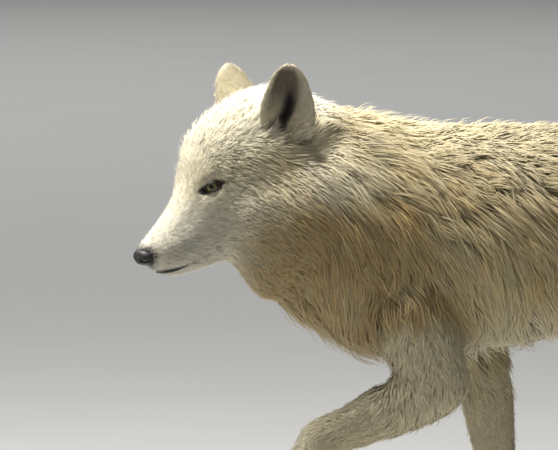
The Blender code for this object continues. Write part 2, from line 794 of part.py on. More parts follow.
def main():
    clear_scene()
    coat = finish_of("coat", (0.78, 0.70, 0.56), 0.9)
    bare = finish_of("bare_nose", (0.02, 0.018, 0.018), 0.45)
    glassy = finish_of("eye_glass", (0.42, 0.30, 0.08), 0.1)
    horn = finish_of("claw_horn", (0.06, 0.05, 0.045), 0.4)

    masses = [*head_masses(), *trunk_masses(), *tail_masses()]
    for name in LEGS:
        masses += leg_masses(name)
    body = thin_out(blend_masses(join(masses, "body")))
    for side in (LEFT, RIGHT):
        boolean(body, ear(side), "UNION")
        boolean(body, eye_socket(side), "DIFFERENCE")
    flatten_soles(body)

    hard = []
    for side, name in ((LEFT, "left"), (RIGHT, "right")):
        hard.append((eyeball(side, f"eye_{name}"), glassy))
    hard.append((nose_pad(), bare))
    boolean(body, nose_pad(grown=FIT), "DIFFERENCE")
    for name in LEGS:
        foot = foot_of(name)
        for number, place in enumerate(TOE_OFFSETS, start=1):
            claw = claw_shape(foot, place)
            claw.name = f"claw_{name}_{number}"
            boolean(body, claw_shape(foot, place, grown=FIT), "DIFFERENCE")
            hard.append((claw, horn))

    cuts = [*body_saws(), jaw_saw(), *(cut for name in LEGS for cut in leg_saws(name))]
    for piece in part_body(body, cuts):
        piece.data.materials.append(coat)
    for piece, finish in hard:
        piece.data.materials.append(finish)
    stand_on_origin()


if __name__ == "__main__":
    main()
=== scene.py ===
"""The looks of a life-size arctic wolf: skin, coat, ears, eyes, nose, lips, claws, light and camera.

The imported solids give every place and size. One skin takes the place of the solids of flesh and lies
under them by the depth of the coat, and the coat is grown from it in thin, overlapping tufts.
"""

import logging
import math
from dataclasses import dataclass
from enum import Enum

import bmesh
import bpy
import numpy as np
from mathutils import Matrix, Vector
from mathutils.bvhtree import BVHTree
from mathutils.kdtree import KDTree


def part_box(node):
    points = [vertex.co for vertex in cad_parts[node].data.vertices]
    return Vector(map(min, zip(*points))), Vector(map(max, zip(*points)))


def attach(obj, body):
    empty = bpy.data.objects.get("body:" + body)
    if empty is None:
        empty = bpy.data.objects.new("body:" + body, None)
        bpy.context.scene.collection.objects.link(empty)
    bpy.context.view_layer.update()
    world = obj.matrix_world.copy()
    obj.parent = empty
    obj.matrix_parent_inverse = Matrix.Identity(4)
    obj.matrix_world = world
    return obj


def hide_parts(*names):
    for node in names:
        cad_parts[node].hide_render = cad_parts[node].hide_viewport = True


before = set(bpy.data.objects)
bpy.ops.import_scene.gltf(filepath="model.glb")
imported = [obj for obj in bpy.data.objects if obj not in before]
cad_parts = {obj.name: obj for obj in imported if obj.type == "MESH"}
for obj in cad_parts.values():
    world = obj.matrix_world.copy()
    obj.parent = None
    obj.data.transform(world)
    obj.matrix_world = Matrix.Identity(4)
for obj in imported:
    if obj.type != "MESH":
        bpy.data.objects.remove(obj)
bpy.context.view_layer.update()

LOG = logging.getLogger("wolf")
BODY = "root"
MILLIMETRE = 0.001
PER_CM2 = 1e4  # turns a count for each square centimetre into one for each square metre
UP = np.array((0.0, 0.0, 1.0))
TURN = 2 * math.pi

Array = np.ndarray
Shape = tuple[Array, list]  # places and faces
Mesh = bpy.types.Mesh
Material = bpy.types.Material
Socket = bpy.types.NodeSocket


# ---- names and choices


class Side(Enum):
    """A side of the wolf; the value is its sign along Y."""

    LEFT = -1
    RIGHT = 1

    @property
    def word(self) -> str:
        """The word that node names end with."""
        return self.name.lower()


class Slot(Enum):
    """The record's material slots."""

    COAT = "coat"
    EYE = "eye"
    NOSE = "nose"
    CLAW = "claw"


LEGS = ("fore_left", "fore_right", "hind_left", "hind_right")
TRUNK_NODES = ("head", "jaw", "neck", "chest", "loin")
BARREL = ("neck", "chest", "loin")
TAIL_NODES = ("tail_root", "tail_tip")


def leg_nodes(leg: str) -> tuple[str, ...]:
    """The three nodes of a leg, from the top down."""
    names = ("arm", "forearm", "forepaw") if leg.startswith("fore") else ("thigh", "shank", "hindpaw")
    return tuple(f"{name}_{leg[5:]}" for name in names)


LEG_NODES = tuple(node for leg in LEGS for node in leg_nodes(leg))
FLESH = (*TRUNK_NODES, *TAIL_NODES, *LEG_NODES)


# ---- arithmetic on arrays of places


def unit(rows: Array) -> Array:
    """Each row scaled to length one."""
    lengths = np.linalg.norm(rows, axis=-1, keepdims=True)
    return rows / np.maximum(lengths, 1e-12)


def dots(first: Array, second: Array) -> Array:
    """The dot product of each pair of rows, kept as a column."""
    return np.sum(first * second, axis=-1, keepdims=True)


def rise(values: Array | float, start: Array | float, end: Array | float) -> Array | float:
    """A smooth step from 0 at `start` to 1 at `end`, which may be the lower of the two."""
    t = np.clip((values - start) / (end - start), 0.0, 1.0)
    return t * t * (3 - 2 * t)


def tangent(ways: Array, normals: Array) -> Array:
    """The directions laid flat on the surface."""
    return unit(ways - normals * dots(ways, normals))


def turned(ways: Array, axes: Array, angles: Array) -> Array:
    """Directions turned about axes square to them, by angles in radians."""
    angles = angles[:, None]
    return ways * np.cos(angles) + np.cross(axes, ways) * np.sin(angles)


def listed(items: bpy.types.bpy_prop_collection, name: str, width: int = 1) -> Array:
    """One setting of every item.

    Args:
        items: The items, such as a mesh's places.
        name: The setting.
        width: 3 where it is a vector.

    Returns:
        Whole numbers, or rows of numbers for a vector.
    """
    found = np.empty(len(items) * width, int if width == 1 else float)
    items.foreach_get(name, found)
    return found if width == 1 else found.reshape(-1, width)


def blend(values: Array, corners: Array, shares: Array) -> Array:
    """Values inside triangles, from those at their corners and the share of each corner."""
    return (values[corners] * (shares if values.ndim == 1 else shares[..., None])).sum(axis=1)


def corners_of(node: str) -> tuple[Array, list[tuple[int, ...]]]:
    """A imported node's places, each once, and its faces.

    Args:
        node: The node's name.

    Returns:
        The places as rows, and each face as numbers of places.
    """
    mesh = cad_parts[node].data
    raw = listed(mesh.vertices, "co", 3)
    _, first, twin = np.unique(np.round(raw, 6), axis=0, return_index=True, return_inverse=True)
    twin = twin.ravel()
    faces = [tuple(int(twin[i]) for i in face.vertices) for face in mesh.polygons]
    return raw[first], [face for face in faces if len(set(face)) == len(face)]


def middle(node: str) -> Array:
    """The middle of a node's box."""
    low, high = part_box(node)
    return (np.array(low) + np.array(high)) / 2


def joint_of(first: str, second: str, reach: float = 0.006) -> Array:
    """The middle of the cut between two nodes.

    Args:
        first: A node.
        second: The node on the other side of the cut.
        reach: How near to the other node a place counts as on the cut.

    Returns:
        The mean of the first node's places on the cut.
    """
    here, there = corners_of(first)[0], corners_of(second)[0]
    gaps = np.linalg.norm(here[:, None] - there[None], axis=2).min(axis=1)
    return here[gaps < max(reach, gaps.min() * 1.5)].mean(axis=0)


def hip_of(leg: str) -> Array:
    """Where a leg joins the trunk."""
    return joint_of(leg_nodes(leg)[0], "chest" if leg.startswith("fore") else "loin")


# ---- the head's own axes


@dataclass(frozen=True)
class Axes:
    """A frame of its own: an origin, and the ways forward, to the wolf's left and up."""

    origin: Array
    forward: Array
    left: Array
    up: Array

    @property
    def matrix(self) -> Array:
        """The three ways as rows."""
        return np.array((self.forward, self.left, self.up))

    def way(self, forward: float, left: float, up: float) -> Array:
        """A direction given along these axes, of length one."""
        return unit(np.array((forward, left, up)) @ self.matrix)

    def world(self, rows: Array) -> Array:
        """Places along these axes, as places in the model."""
        return self.origin + np.asarray(rows) @ self.matrix

    def local(self, rows: Array) -> Array:
        """Places in the model, as places along these axes."""
        return (np.asarray(rows) - self.origin) @ self.matrix.T


NOSE_DROP = math.radians(25.2)  # from straight forward down to the middle of the nose


def head_axes() -> Axes:
    """The head's axes, from mid-eye, found from the eyes and the nose.

    Returns:
        The axes.
    """
    left_eye, right_eye = middle("eye_left"), middle("eye_right")
    origin = (left_eye + right_eye) / 2
    left = unit(left_eye - right_eye)
    to_nose = middle("nose") - origin
    to_nose = unit(to_nose - left * (to_nose @ left))
    raised = np.cross(to_nose, left)
    forward = to_nose * math.cos(NOSE_DROP) + raised * math.sin(NOSE_DROP)
    return Axes(origin, forward, left, np.cross(forward, left))


HEAD = head_axes()


# ---- surfaces as arrays


@dataclass
class Surface:
    """A mesh as arrays: its places and its faces of three or four corners."""

    places: Array
    faces: list

    def __post_init__(self) -> None:
        """Parts the faces into triangles and finds the edges."""
        self.triangles = np.array([(face[0], face[i], face[i + 1]) for face in self.faces
                                   for i in range(1, len(face) - 1)])
        pairs = np.concatenate([self.triangles[:, [0, 1]], self.triangles[:, [1, 2]],
                                self.triangles[:, [2, 0]]])
        pairs.sort(axis=1)
        self.edges = np.unique(pairs, axis=0)

    def facing(self) -> Array:
        """Each triangle's way out, twice as long as its area is large."""
        a, b, c = (self.places[self.triangles[:, i]] for i in range(3))
        return np.cross(b - a, c - a)

    def normals(self) -> Array:
        """The direction out at each place.

        Returns:
            Rows of length one.
        """
        facing = self.facing()
        total = np.zeros_like(self.places)
        for corner in self.triangles.T:
            for axis in range(3):
                total[:, axis] += np.bincount(corner, facing[:, axis], len(total))
        return unit(total)

    def eased(self, values: Array, rounds: int, keep: Array | None = None) -> Array:
        """Values drawn towards those next to them.

        Args:
            values: One row or number for each place.
            rounds: How many times.
            keep: For each place, how many of the rounds it takes part in; all if left out.

        Returns:
            The eased values.
        """
        flat = values.ndim == 1
        values = values.reshape(len(values), -1).astype(float)
        a, b = self.edges.T
        count = len(values)
        degree = np.maximum(np.bincount(self.edges.ravel(), minlength=count), 1)[:, None]
        for step in range(rounds):
            mean = np.empty_like(values)
            for column in range(values.shape[1]):
                mean[:, column] = (np.bincount(a, values[b, column], count)
                                   + np.bincount(b, values[a, column], count))
            moved = (values + mean / degree) / 2
            if keep is not None:
                moved = np.where((keep > step)[:, None], moved, values)
            values = moved
        return values[:, 0] if flat else values

    def tree(self) -> BVHTree:
        """A tree for rays and nearest places."""
        return BVHTree.FromPolygons(self.places.tolist(), self.triangles.tolist())


def finder(places: Array, numbers: Array) -> KDTree:
    """A tree for the nearest of some places.

    Args:
        places: All the places.
        numbers: Which of them it holds.

    Returns:
        The tree.
    """
    tree = KDTree(len(numbers))
    for number in numbers.tolist():
        tree.insert(places[number], number)
    tree.balance()
    return tree


def outward(places: Array, faces: list) -> list:
    """The faces of a closed shape, turned so that they face out.

    Args:
        places: The shape's places.
        faces: Its faces, which all turn the same way.

    Returns:
        The faces.
    """
    volume = sum(np.dot(places[face[0]], np.cross(places[face[i]], places[face[i + 1]]))
                 for face in faces for i in range(1, len(face) - 1))
    return faces if volume > 0 else [tuple(reversed(face)) for face in faces]


def joined(solids: list[Shape]) -> Shape:
    """Several shapes as one.

    Args:
        solids: The shapes.

    Returns:
        The one shape.
    """
    faces, start = [], 0
    for places, sides in solids:
        faces += [tuple(i + start for i in face) for face in sides]
        start += len(places)
    return np.concatenate([places for places, _ in solids]), faces


def oval(spot: Array, ahead: Array, across: Array, over: Array, radii: tuple,
         power: float = 2.5, finer: int = 3) -> Shape:
    """A rounded oval.

    Args:
        spot: Its middle.
        ahead: The way of its first radius.
        across: The way of its second radius.
        over: The way of its third radius.
        radii: The three radii.
        power: 2 for an ellipsoid; more is squarer.
        finer: How finely it is divided.

    Returns:
        The oval.
    """
    maker = bmesh.new()
    bmesh.ops.create_icosphere(maker, subdivisions=finer, radius=1.0)
    ball = np.array([vertex.co for vertex in maker.verts])
    faces = [tuple(vertex.index for vertex in face.verts) for face in maker.faces]
    maker.free()
    ball = ball / (np.abs(ball) ** power).sum(axis=1)[:, None] ** (1 / power)
    shape = spot + (ball * np.array(radii)) @ np.array((ahead, across, over))
    return shape, outward(shape, faces)


def landed(face: BVHTree, inside: Array, way: Array, reach: float) -> Array | None:
    """Where a ray, from `reach` out along `way` back to `inside`, first meets the skin, or None."""
    hit = face.ray_cast(Vector(inside + way * reach), Vector(-way), reach)[0]
    return None if hit is None else np.array(hit)


def rolled(rings: Array, looped: bool = False) -> Shape:
    """A tube through rings of equal count.

    Args:
        rings: Places as (ring, place in it, xyz).
        looped: Whether the last ring joins the first, rather than each end being closed by a fan.

    Returns:
        The tube.
    """
    levels, count = rings.shape[:2]
    places = rings.reshape(-1, 3).tolist()
    pairs = [(i, (i + 1) % count) for i in range(count)]
    faces = []
    for level in range(levels if looped else levels - 1):
        low, high = level * count, (level + 1) % levels * count
        faces += [(low + i, low + j, high + j, high + i) for i, j in pairs]
    for level in () if looped else (0, levels - 1):
        hub, start = len(places), level * count
        places.append(rings[level].mean(axis=0).tolist())
        faces += [(hub, start + j, start + i) if level == 0 else (hub, start + i, start + j)
                  for i, j in pairs]
    places = np.array(places)
    return places, outward(places, faces)


# ---- pieces in the scene


def linked(name: str, data: bpy.types.ID) -> bpy.types.Object:
    """A new object in the scene.

    Args:
        name: Its name.
        data: Its mesh, lamp or camera.

    Returns:
        The object.
    """
    made = bpy.data.objects.new(name, data)
    bpy.context.scene.collection.objects.link(made)
    return made


def piece_of(name: str, shape: Shape | Mesh, finish: Material, slot: Slot,
             *nodes: str) -> bpy.types.Object:
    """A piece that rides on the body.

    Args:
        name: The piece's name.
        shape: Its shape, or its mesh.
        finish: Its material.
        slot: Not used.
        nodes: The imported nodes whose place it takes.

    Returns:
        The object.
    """
    mesh = shape
    if isinstance(shape, tuple):
        mesh = bpy.data.meshes.new(name)
        mesh.from_pydata(shape[0].tolist(), [], shape[1])
        mesh.validate()
        mesh.shade_smooth()
    piece = linked(name, mesh)
    mesh.materials.append(finish)
    LOG.info("%s: %d faces", name, len(mesh.polygons))
    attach(piece, BODY)
    if nodes:
        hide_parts(*nodes)
    return piece


def store(mesh: Mesh, name: str, values: Array) -> None:
    """Stores something for each place of a mesh.

    Args:
        mesh: The mesh.
        name: What the finishes read it by.
        values: A number or a vector for each place.
    """
    kind, part = ("FLOAT", "value") if values.ndim == 1 else ("FLOAT_VECTOR", "vector")
    made = mesh.attributes.new(name, kind, "POINT")
    made.data.foreach_set(part, np.ascontiguousarray(values, np.float32).ravel())


def set_map(mesh: Mesh, spots: Array) -> None:
    """Stores the OFBake map, a spot for each corner of each face."""
    layer = mesh.uv_layers.new(name="OFBake")
    layer.data.foreach_set("uv", spots.astype(np.float32).ravel())


# ---- finishes


Feed = Socket | float | tuple  # what a node's socket takes


class Nodes:
    """Builds a node tree in few words."""

    def __init__(self, tree: bpy.types.NodeTree) -> None:
        """Starts from an empty tree."""
        self.tree = tree
        tree.nodes.clear()

    @classmethod
    def of_material(cls, name: str) -> "Nodes":
        """The empty tree of a new material.

        Args:
            name: The material's name.

        Returns:
            The builder of its tree.
        """
        material = bpy.data.materials.new(name)
        material.use_nodes = True
        nodes = cls(material.node_tree)
        nodes.material = material
        return nodes

    def shaded(self, colour: Socket, roughness: Socket | float, settings: dict | None = None,
               bump: bpy.types.Node | None = None) -> Material:
        """Ends the material in its shader.

        Args:
            colour: The base colour.
            roughness: The roughness.
            settings: The shader's other numbers, by name.
            bump: The bump node, if there is one.

        Returns:
            The material.
        """
        shader = self.add("BsdfPrincipled", Base_Color=colour, Roughness=roughness)
        for name, value in (settings or {}).items():
            shader.inputs[name].default_value = value
        if bump is not None:
            self.tree.links.new(bump.outputs[0], shader.inputs["Normal"])
        self.tree.links.new(shader.outputs[0], self.add("OutputMaterial").inputs[0])
        return self.material

    def add(self, kind: str, **values) -> bpy.types.Node:
        """Adds a node. Values name its sockets, or its own settings.

        Args:
            kind: The node's type, without the ShaderNode that it starts with.
            values: Socket numbers or names (spaces as underscores) or settings; a socket as the
                value is linked.

        Returns:
            The node.
        """
        node = self.tree.nodes.new("ShaderNode" + kind)
        for key, value in values.items():
            if hasattr(node, key):
                setattr(node, key, value)
                continue
            name = int(key[2:]) if key[2:].isdigit() else key.replace("_", " ")
            socket = node.inputs[name]
            if isinstance(value, Socket):
                self.tree.links.new(value, socket)
            else:
                socket.default_value = value
        return node

    def number(self, name: str) -> Socket:
        """A number stored on the mesh."""
        return self.add("Attribute", attribute_name=name).outputs["Fac"]

    def maths(self, operation: str, first: Feed, second: Feed = 0.0, clamp: bool = False) -> Socket:
        """A sum on two numbers or sockets."""
        return self.add("Math", operation=operation, use_clamp=clamp, in0=first, in1=second).outputs[0]

    def times(self, first: Feed, second: Feed, clamp: bool = False) -> Socket:
        """The product of two numbers or sockets."""
        return self.maths("MULTIPLY", first, second, clamp)

    def line(self, value: Feed, slope: float, start: float) -> Socket:
        """A value times a slope, plus a start."""
        return self.maths("ADD", self.times(value, slope), start)

    def past(self, value: Feed, start: Feed, slope: float) -> Socket:
        """How far a value lies past a start, times a slope, kept between 0 and 1."""
        return self.times(self.maths("SUBTRACT", value, start), slope, clamp=True)

    def mix(self, share: Feed, first: Feed, second: Feed, blend: str = "MIX") -> Socket:
        """Two colours mixed by a share."""
        return self.add("MixRGB", blend_type=blend, in0=share, in1=first, in2=second).outputs[0]

    def ramp(self, value: Socket, *stops: tuple[float, float]) -> Socket:
        """A smooth ramp of greys.

        Args:
            value: What it reads.
            stops: Each stop's position and its grey.

        Returns:
            The grey.
        """
        node = self.add("ValToRGB", in0=value)
        ramp = node.color_ramp
        ramp.interpolation = "EASE"
        while len(ramp.elements) < len(stops):
            ramp.elements.new(0.5)
        for element, (position, grey) in zip(ramp.elements, stops):
            element.position = position
            element.color = (grey, grey, grey, 1.0)
        return node.outputs[0]

    def spot(self) -> Socket:
        """The place on the object."""
        return self.add("TexCoord").outputs["Object"]

    def noise(self, scale: float, vector: Socket, detail: float = 2.0) -> Socket:
        """Noise between 0 and 1 over a vector."""
        return self.add("TexNoise", Vector=vector, Scale=scale, Detail=detail).outputs["Fac"]

    def vector(self, name: str) -> Socket:
        """A vector stored on the mesh."""
        return self.add("Attribute", attribute_name=name).outputs["Vector"]


@dataclass(frozen=True)
class CoatColours:
    """The colours of the fur, shared by the skin and every tuft."""

    cream: tuple = (0.86, 0.77, 0.5, 1.0)
    white: tuple = (0.87, 0.84, 0.74, 1.0)
    tan: tuple = (0.5, 0.355, 0.15, 1.0)
    smoke: tuple = (0.06, 0.045, 0.036, 1.0)
    # dark brown: the saddle's dark hair, and painted shade in the throat and inside the ears
    dusk: tuple = (0.235, 0.19, 0.14, 1.0)
    # near black: dark skin round the eyes, nose and mouth, and painted shade under the ears and in their
    # slits
    hide: tuple = (0.02, 0.017, 0.016, 1.0)
    # painted shade: the grey that each hair is darkened to at its root, deep in the coat
    root_shade: float = 0.4

    def group(self) -> bpy.types.NodeTree:
        """The markings, with painted shade, as a node group with one output, the colour at each place.

        Returns:
            The group.
        """
        tree = bpy.data.node_groups.new("Markings", "ShaderNodeTree")
        tree.interface.new_socket("Colour", in_out="OUTPUT", socket_type="NodeSocketColor")
        nodes = Nodes(tree)
        along, shade = nodes.number("along"), nodes.number("shade")
        patchy = nodes.line(nodes.noise(13.0, nodes.vector("root"), 3.0), 1.1, 0.25)
        warm = nodes.times(nodes.number("warm"), patchy, clamp=True)
        warm = nodes.times(warm, nodes.line(shade, 0.9, 0.5), clamp=True)
        colour = nodes.mix(nodes.number("pale"), self.cream, self.white)
        colour = nodes.mix(warm, colour, self.tan)
        # dark brown saddle hair, and painted shade in the throat and inside the ears
        colour = nodes.mix(nodes.number("dusk"), colour, self.dusk)
        streaks = nodes.past(nodes.number("smoke"), shade, 3.0)
        tips = nodes.ramp(along, (0.35, 0.15), (0.85, 1.0))
        colour = nodes.mix(nodes.times(streaks, tips), colour, self.smoke)
        # painted shade: each hair darker towards its root, deep in the coat
        depth = nodes.ramp(along, (0.0, self.root_shade), (0.5, 0.93), (1.0, 1.0))
        colour = nodes.mix(1.0, colour, depth, "MULTIPLY")
        tone = nodes.line(shade, 0.44, 0.66)
        tone = nodes.add("CombineXYZ", X=tone, Y=tone, Z=tone).outputs[0]
        colour = nodes.mix(1.0, colour, tone, "MULTIPLY")
        # near-black dark skin, and painted shade under the ears and in their slits
        colour = nodes.mix(nodes.number("bare"), colour, self.hide)
        nodes.tree.links.new(colour, nodes.tree.nodes.new("NodeGroupOutput").inputs[0])
        return tree


@dataclass(frozen=True)
class FurFinish:
    """The finish of the skin or of the tufts."""

    name: str
    markings: bpy.types.NodeTree
    roughness: float = 0.62
    bump: float = 0.0
    grain: float = 260.0
    hair_depth: float = 0.0012

    def material(self) -> Material:
        """Makes the material.

        Returns:
            The material.
        """
        nodes = Nodes.of_material(self.name)
        group = nodes.tree.nodes.new("ShaderNodeGroup")
        group.node_tree = self.markings
        bump = None
        if self.bump:
            lie = nodes.add("UVMap", uv_map="OFBake").outputs[0]
            drawn = nodes.add("Mapping", Vector=lie, Scale=(self.grain * 2.2, self.grain * 0.5, 1.0))
            hairs = nodes.noise(1.0, drawn.outputs[0], 3.0)
            bump = nodes.add("Bump", Strength=self.bump, Distance=self.hair_depth, Height=hairs)
        settings = {"Specular IOR Level": 0.25, "Sheen Weight": 0.18, "Sheen Roughness": 0.45}
        return nodes.shaded(group.outputs[0], self.roughness, settings, bump)


@dataclass(frozen=True)
class HideFinish:
    """Bare dark skin: the nose, the lips, the lids and the pads."""

    name: str
    colour: tuple = (0.012, 0.011, 0.011, 1.0)
    worn: tuple = (0.03, 0.027, 0.027, 1.0)
    roughness: float = 0.46
    cells: float = 900.0
    depth: float = 0.00045
    wet: float = 0.0

    def material(self) -> Material:
        """Makes the material.

        Returns:
            The material.
        """
        nodes = Nodes.of_material(self.name)
        place = nodes.spot()
        cells = nodes.add("TexVoronoi", Vector=place, Scale=self.cells).outputs["Distance"]
        colour = nodes.mix(nodes.noise(70.0, place, 4.0), self.colour, self.worn)
        rough = nodes.line(nodes.noise(240.0, place), 0.25, self.roughness - 0.12)
        bump = nodes.add("Bump", Strength=0.7, Distance=self.depth, Height=cells)
        return nodes.shaded(colour, rough, {"Coat Weight": self.wet, "Coat Roughness": 0.18}, bump)


@dataclass(frozen=True)
class EyeFinish:
    """A wet eye: black pupil, amber iris with fine rays and a dark rim, brown white of the eye."""

    pupil: tuple = (0.003, 0.003, 0.003, 1.0)
    inner: tuple = (0.36, 0.31, 0.075, 1.0)
    outer: tuple = (0.2, 0.19, 0.05, 1.0)
    rim: tuple = (0.01, 0.008, 0.005, 1.0)
    white: tuple = (0.1, 0.062, 0.04, 1.0)
    pupil_share: float = 0.48

    def material(self) -> Material:
        """Makes the material; "ring" runs from 0 on the gaze to 1 at the iris's rim.

        Returns:
            The material.
        """
        nodes = Nodes.of_material("wet_eye")
        ring = nodes.number("ring")
        fibres = nodes.noise(5.0, nodes.vector("rays"), 4.0)
        iris = nodes.mix(nodes.times(ring, 0.9, clamp=True), self.inner, self.outer)
        iris = nodes.mix(nodes.times(fibres, 0.75), iris, self.rim)
        pupil = nodes.ramp(ring, (0.0, 1), (self.pupil_share - 0.02, 1), (self.pupil_share + 0.02, 0))
        colour = nodes.mix(pupil, iris, self.pupil)
        colour = nodes.mix(nodes.past(ring, 0.84, 7.0), colour, self.rim)
        colour = nodes.mix(nodes.past(ring, 1.06, 9.0), colour, self.white)
        return nodes.shaded(colour, 0.28, {"Specular IOR Level": 0.15, "Coat Weight": 0.5,
                                           "Coat Roughness": 0.03})


@dataclass(frozen=True)
class HornFinish:
    """Dark horn, streaked along the claw and paler where it is worn."""

    colour: tuple = (0.03, 0.024, 0.02, 1.0)
    worn: tuple = (0.12, 0.095, 0.072, 1.0)
    streak_scale: tuple = (120.0, 900.0, 300.0)

    def material(self) -> Material:
        """Makes the material.

        Returns:
            The material.
        """
        nodes = Nodes.of_material("dark_horn")
        drawn = nodes.add("Mapping", Vector=nodes.spot(), Scale=self.streak_scale)
        streaks = nodes.noise(1.0, drawn.outputs[0], 3.0)
        bump = nodes.add("Bump", Strength=0.5, Distance=0.0003, Height=streaks)
        colour = nodes.mix(streaks, self.colour, self.worn)
        return nodes.shaded(colour, nodes.line(streaks, 0.3, 0.28), bump=bump)


@dataclass(frozen=True)
class FloorFinish:
    """A finish for the floor: one pale tone with faint unevenness."""

    colour: tuple = (0.52, 0.52, 0.51, 1.0)
    darker: float = 0.94
    roughness: float = 0.8

    def material(self) -> Material:
        """Makes the material.

        Returns:
            The material.
        """
        nodes = Nodes.of_material("floor_paint")
        darker = tuple(self.darker * value for value in self.colour[:3]) + (1.0,)
        colour = nodes.mix(nodes.noise(3.0, nodes.spot()), self.colour, darker)
        return nodes.shaded(colour, self.roughness)


# ---- how the coat grows


@dataclass(frozen=True)
class Fur:
    """How the coat grows on one part of the body, in millimetres.

    depth is from the skin to the outline, length is along a tuft, height is how far its tip stands
    off the skin, density is in tufts for each square centimetre, lock is the radius of a lock.
    """

    depth: float
    length: float
    width: float
    height: float
    density: float
    lock: float
    way: tuple = (0.86, 0.0, -0.5)
    warm: float = 0.0
    smoke: float = 0.0
    pale: float = 0.0


FURS = {
    "head": Fur(7, 14, 1.0, 5, 50, 4),
    "jaw": Fur(3, 9, 0.8, 3, 60, 3, pale=0.5),
    "neck": Fur(22, 62, 1.2, 15, 27.0, 8, warm=0.8, smoke=0.04),
    "chest": Fur(20, 58, 1.45, 14, 13.0, 8, warm=0.8, smoke=0.06),
    "loin": Fur(16, 46, 2.1, 12, 9.0, 8, warm=0.62, smoke=0.1),
    "tail_root": Fur(20, 56, 2.2, 17, 11.0, 8, warm=0.35, smoke=0.2),
    "tail_tip": Fur(20, 60, 2.2, 14, 12.0, 8, warm=0.25, smoke=0.25),
    "arm": Fur(10, 22, 1.3, 5.5, 20.0, 6, warm=0.26, pale=0.3),
    "forearm": Fur(4, 11, 1.1, 3.0, 25.0, 5, warm=0.24, pale=0.3),
    "forepaw": Fur(3.2, 8, 1.1, 2.0, 27.0, 4, warm=0.14, pale=0.4),
    "thigh": Fur(13, 32, 2.2, 10, 8.5, 8, (0.35, 0.0, -0.94), warm=0.5, pale=0.1),
    "shank": Fur(5, 14, 1.5, 4, 14.0, 5, warm=0.26, pale=0.2),
    "hindpaw": Fur(3.4, 9, 1.3, 2.2, 20.0, 4, warm=0.14, pale=0.4),
}


def fur_values(name: str, labels: Array) -> Array:
    """One of the numbers of the fur at each place, by the node that the place belongs to."""
    furs = [FURS[node if node in FURS else node.split("_")[0]] for node in FLESH]
    return np.array([getattr(fur, name) for fur in furs], float)[labels]


def belongs(labels: Array, nodes: tuple[str, ...]) -> Array:
    """Whether each label, a number in FLESH, is one of the nodes."""
    return np.isin(labels, [FLESH.index(node) for node in nodes])


@dataclass
class Fields:
    """The coat's numbers at every place of a surface, in metres; ways are directions."""

    way: Array
    length: Array
    width: Array
    height: Array
    density: Array
    lock: Array
    warm: Array
    smoke: Array
    pale: Array
    dusk: Array
    bare: Array
    unwrap: Array

    MARKS = ("warm", "smoke", "pale", "dusk", "bare")


@dataclass
class Tufts:
    """The tufts grown on a surface: their paths, and what each carries."""

    paths: Array
    facing: Array
    width: Array
    marks: dict
    unwrap: Array


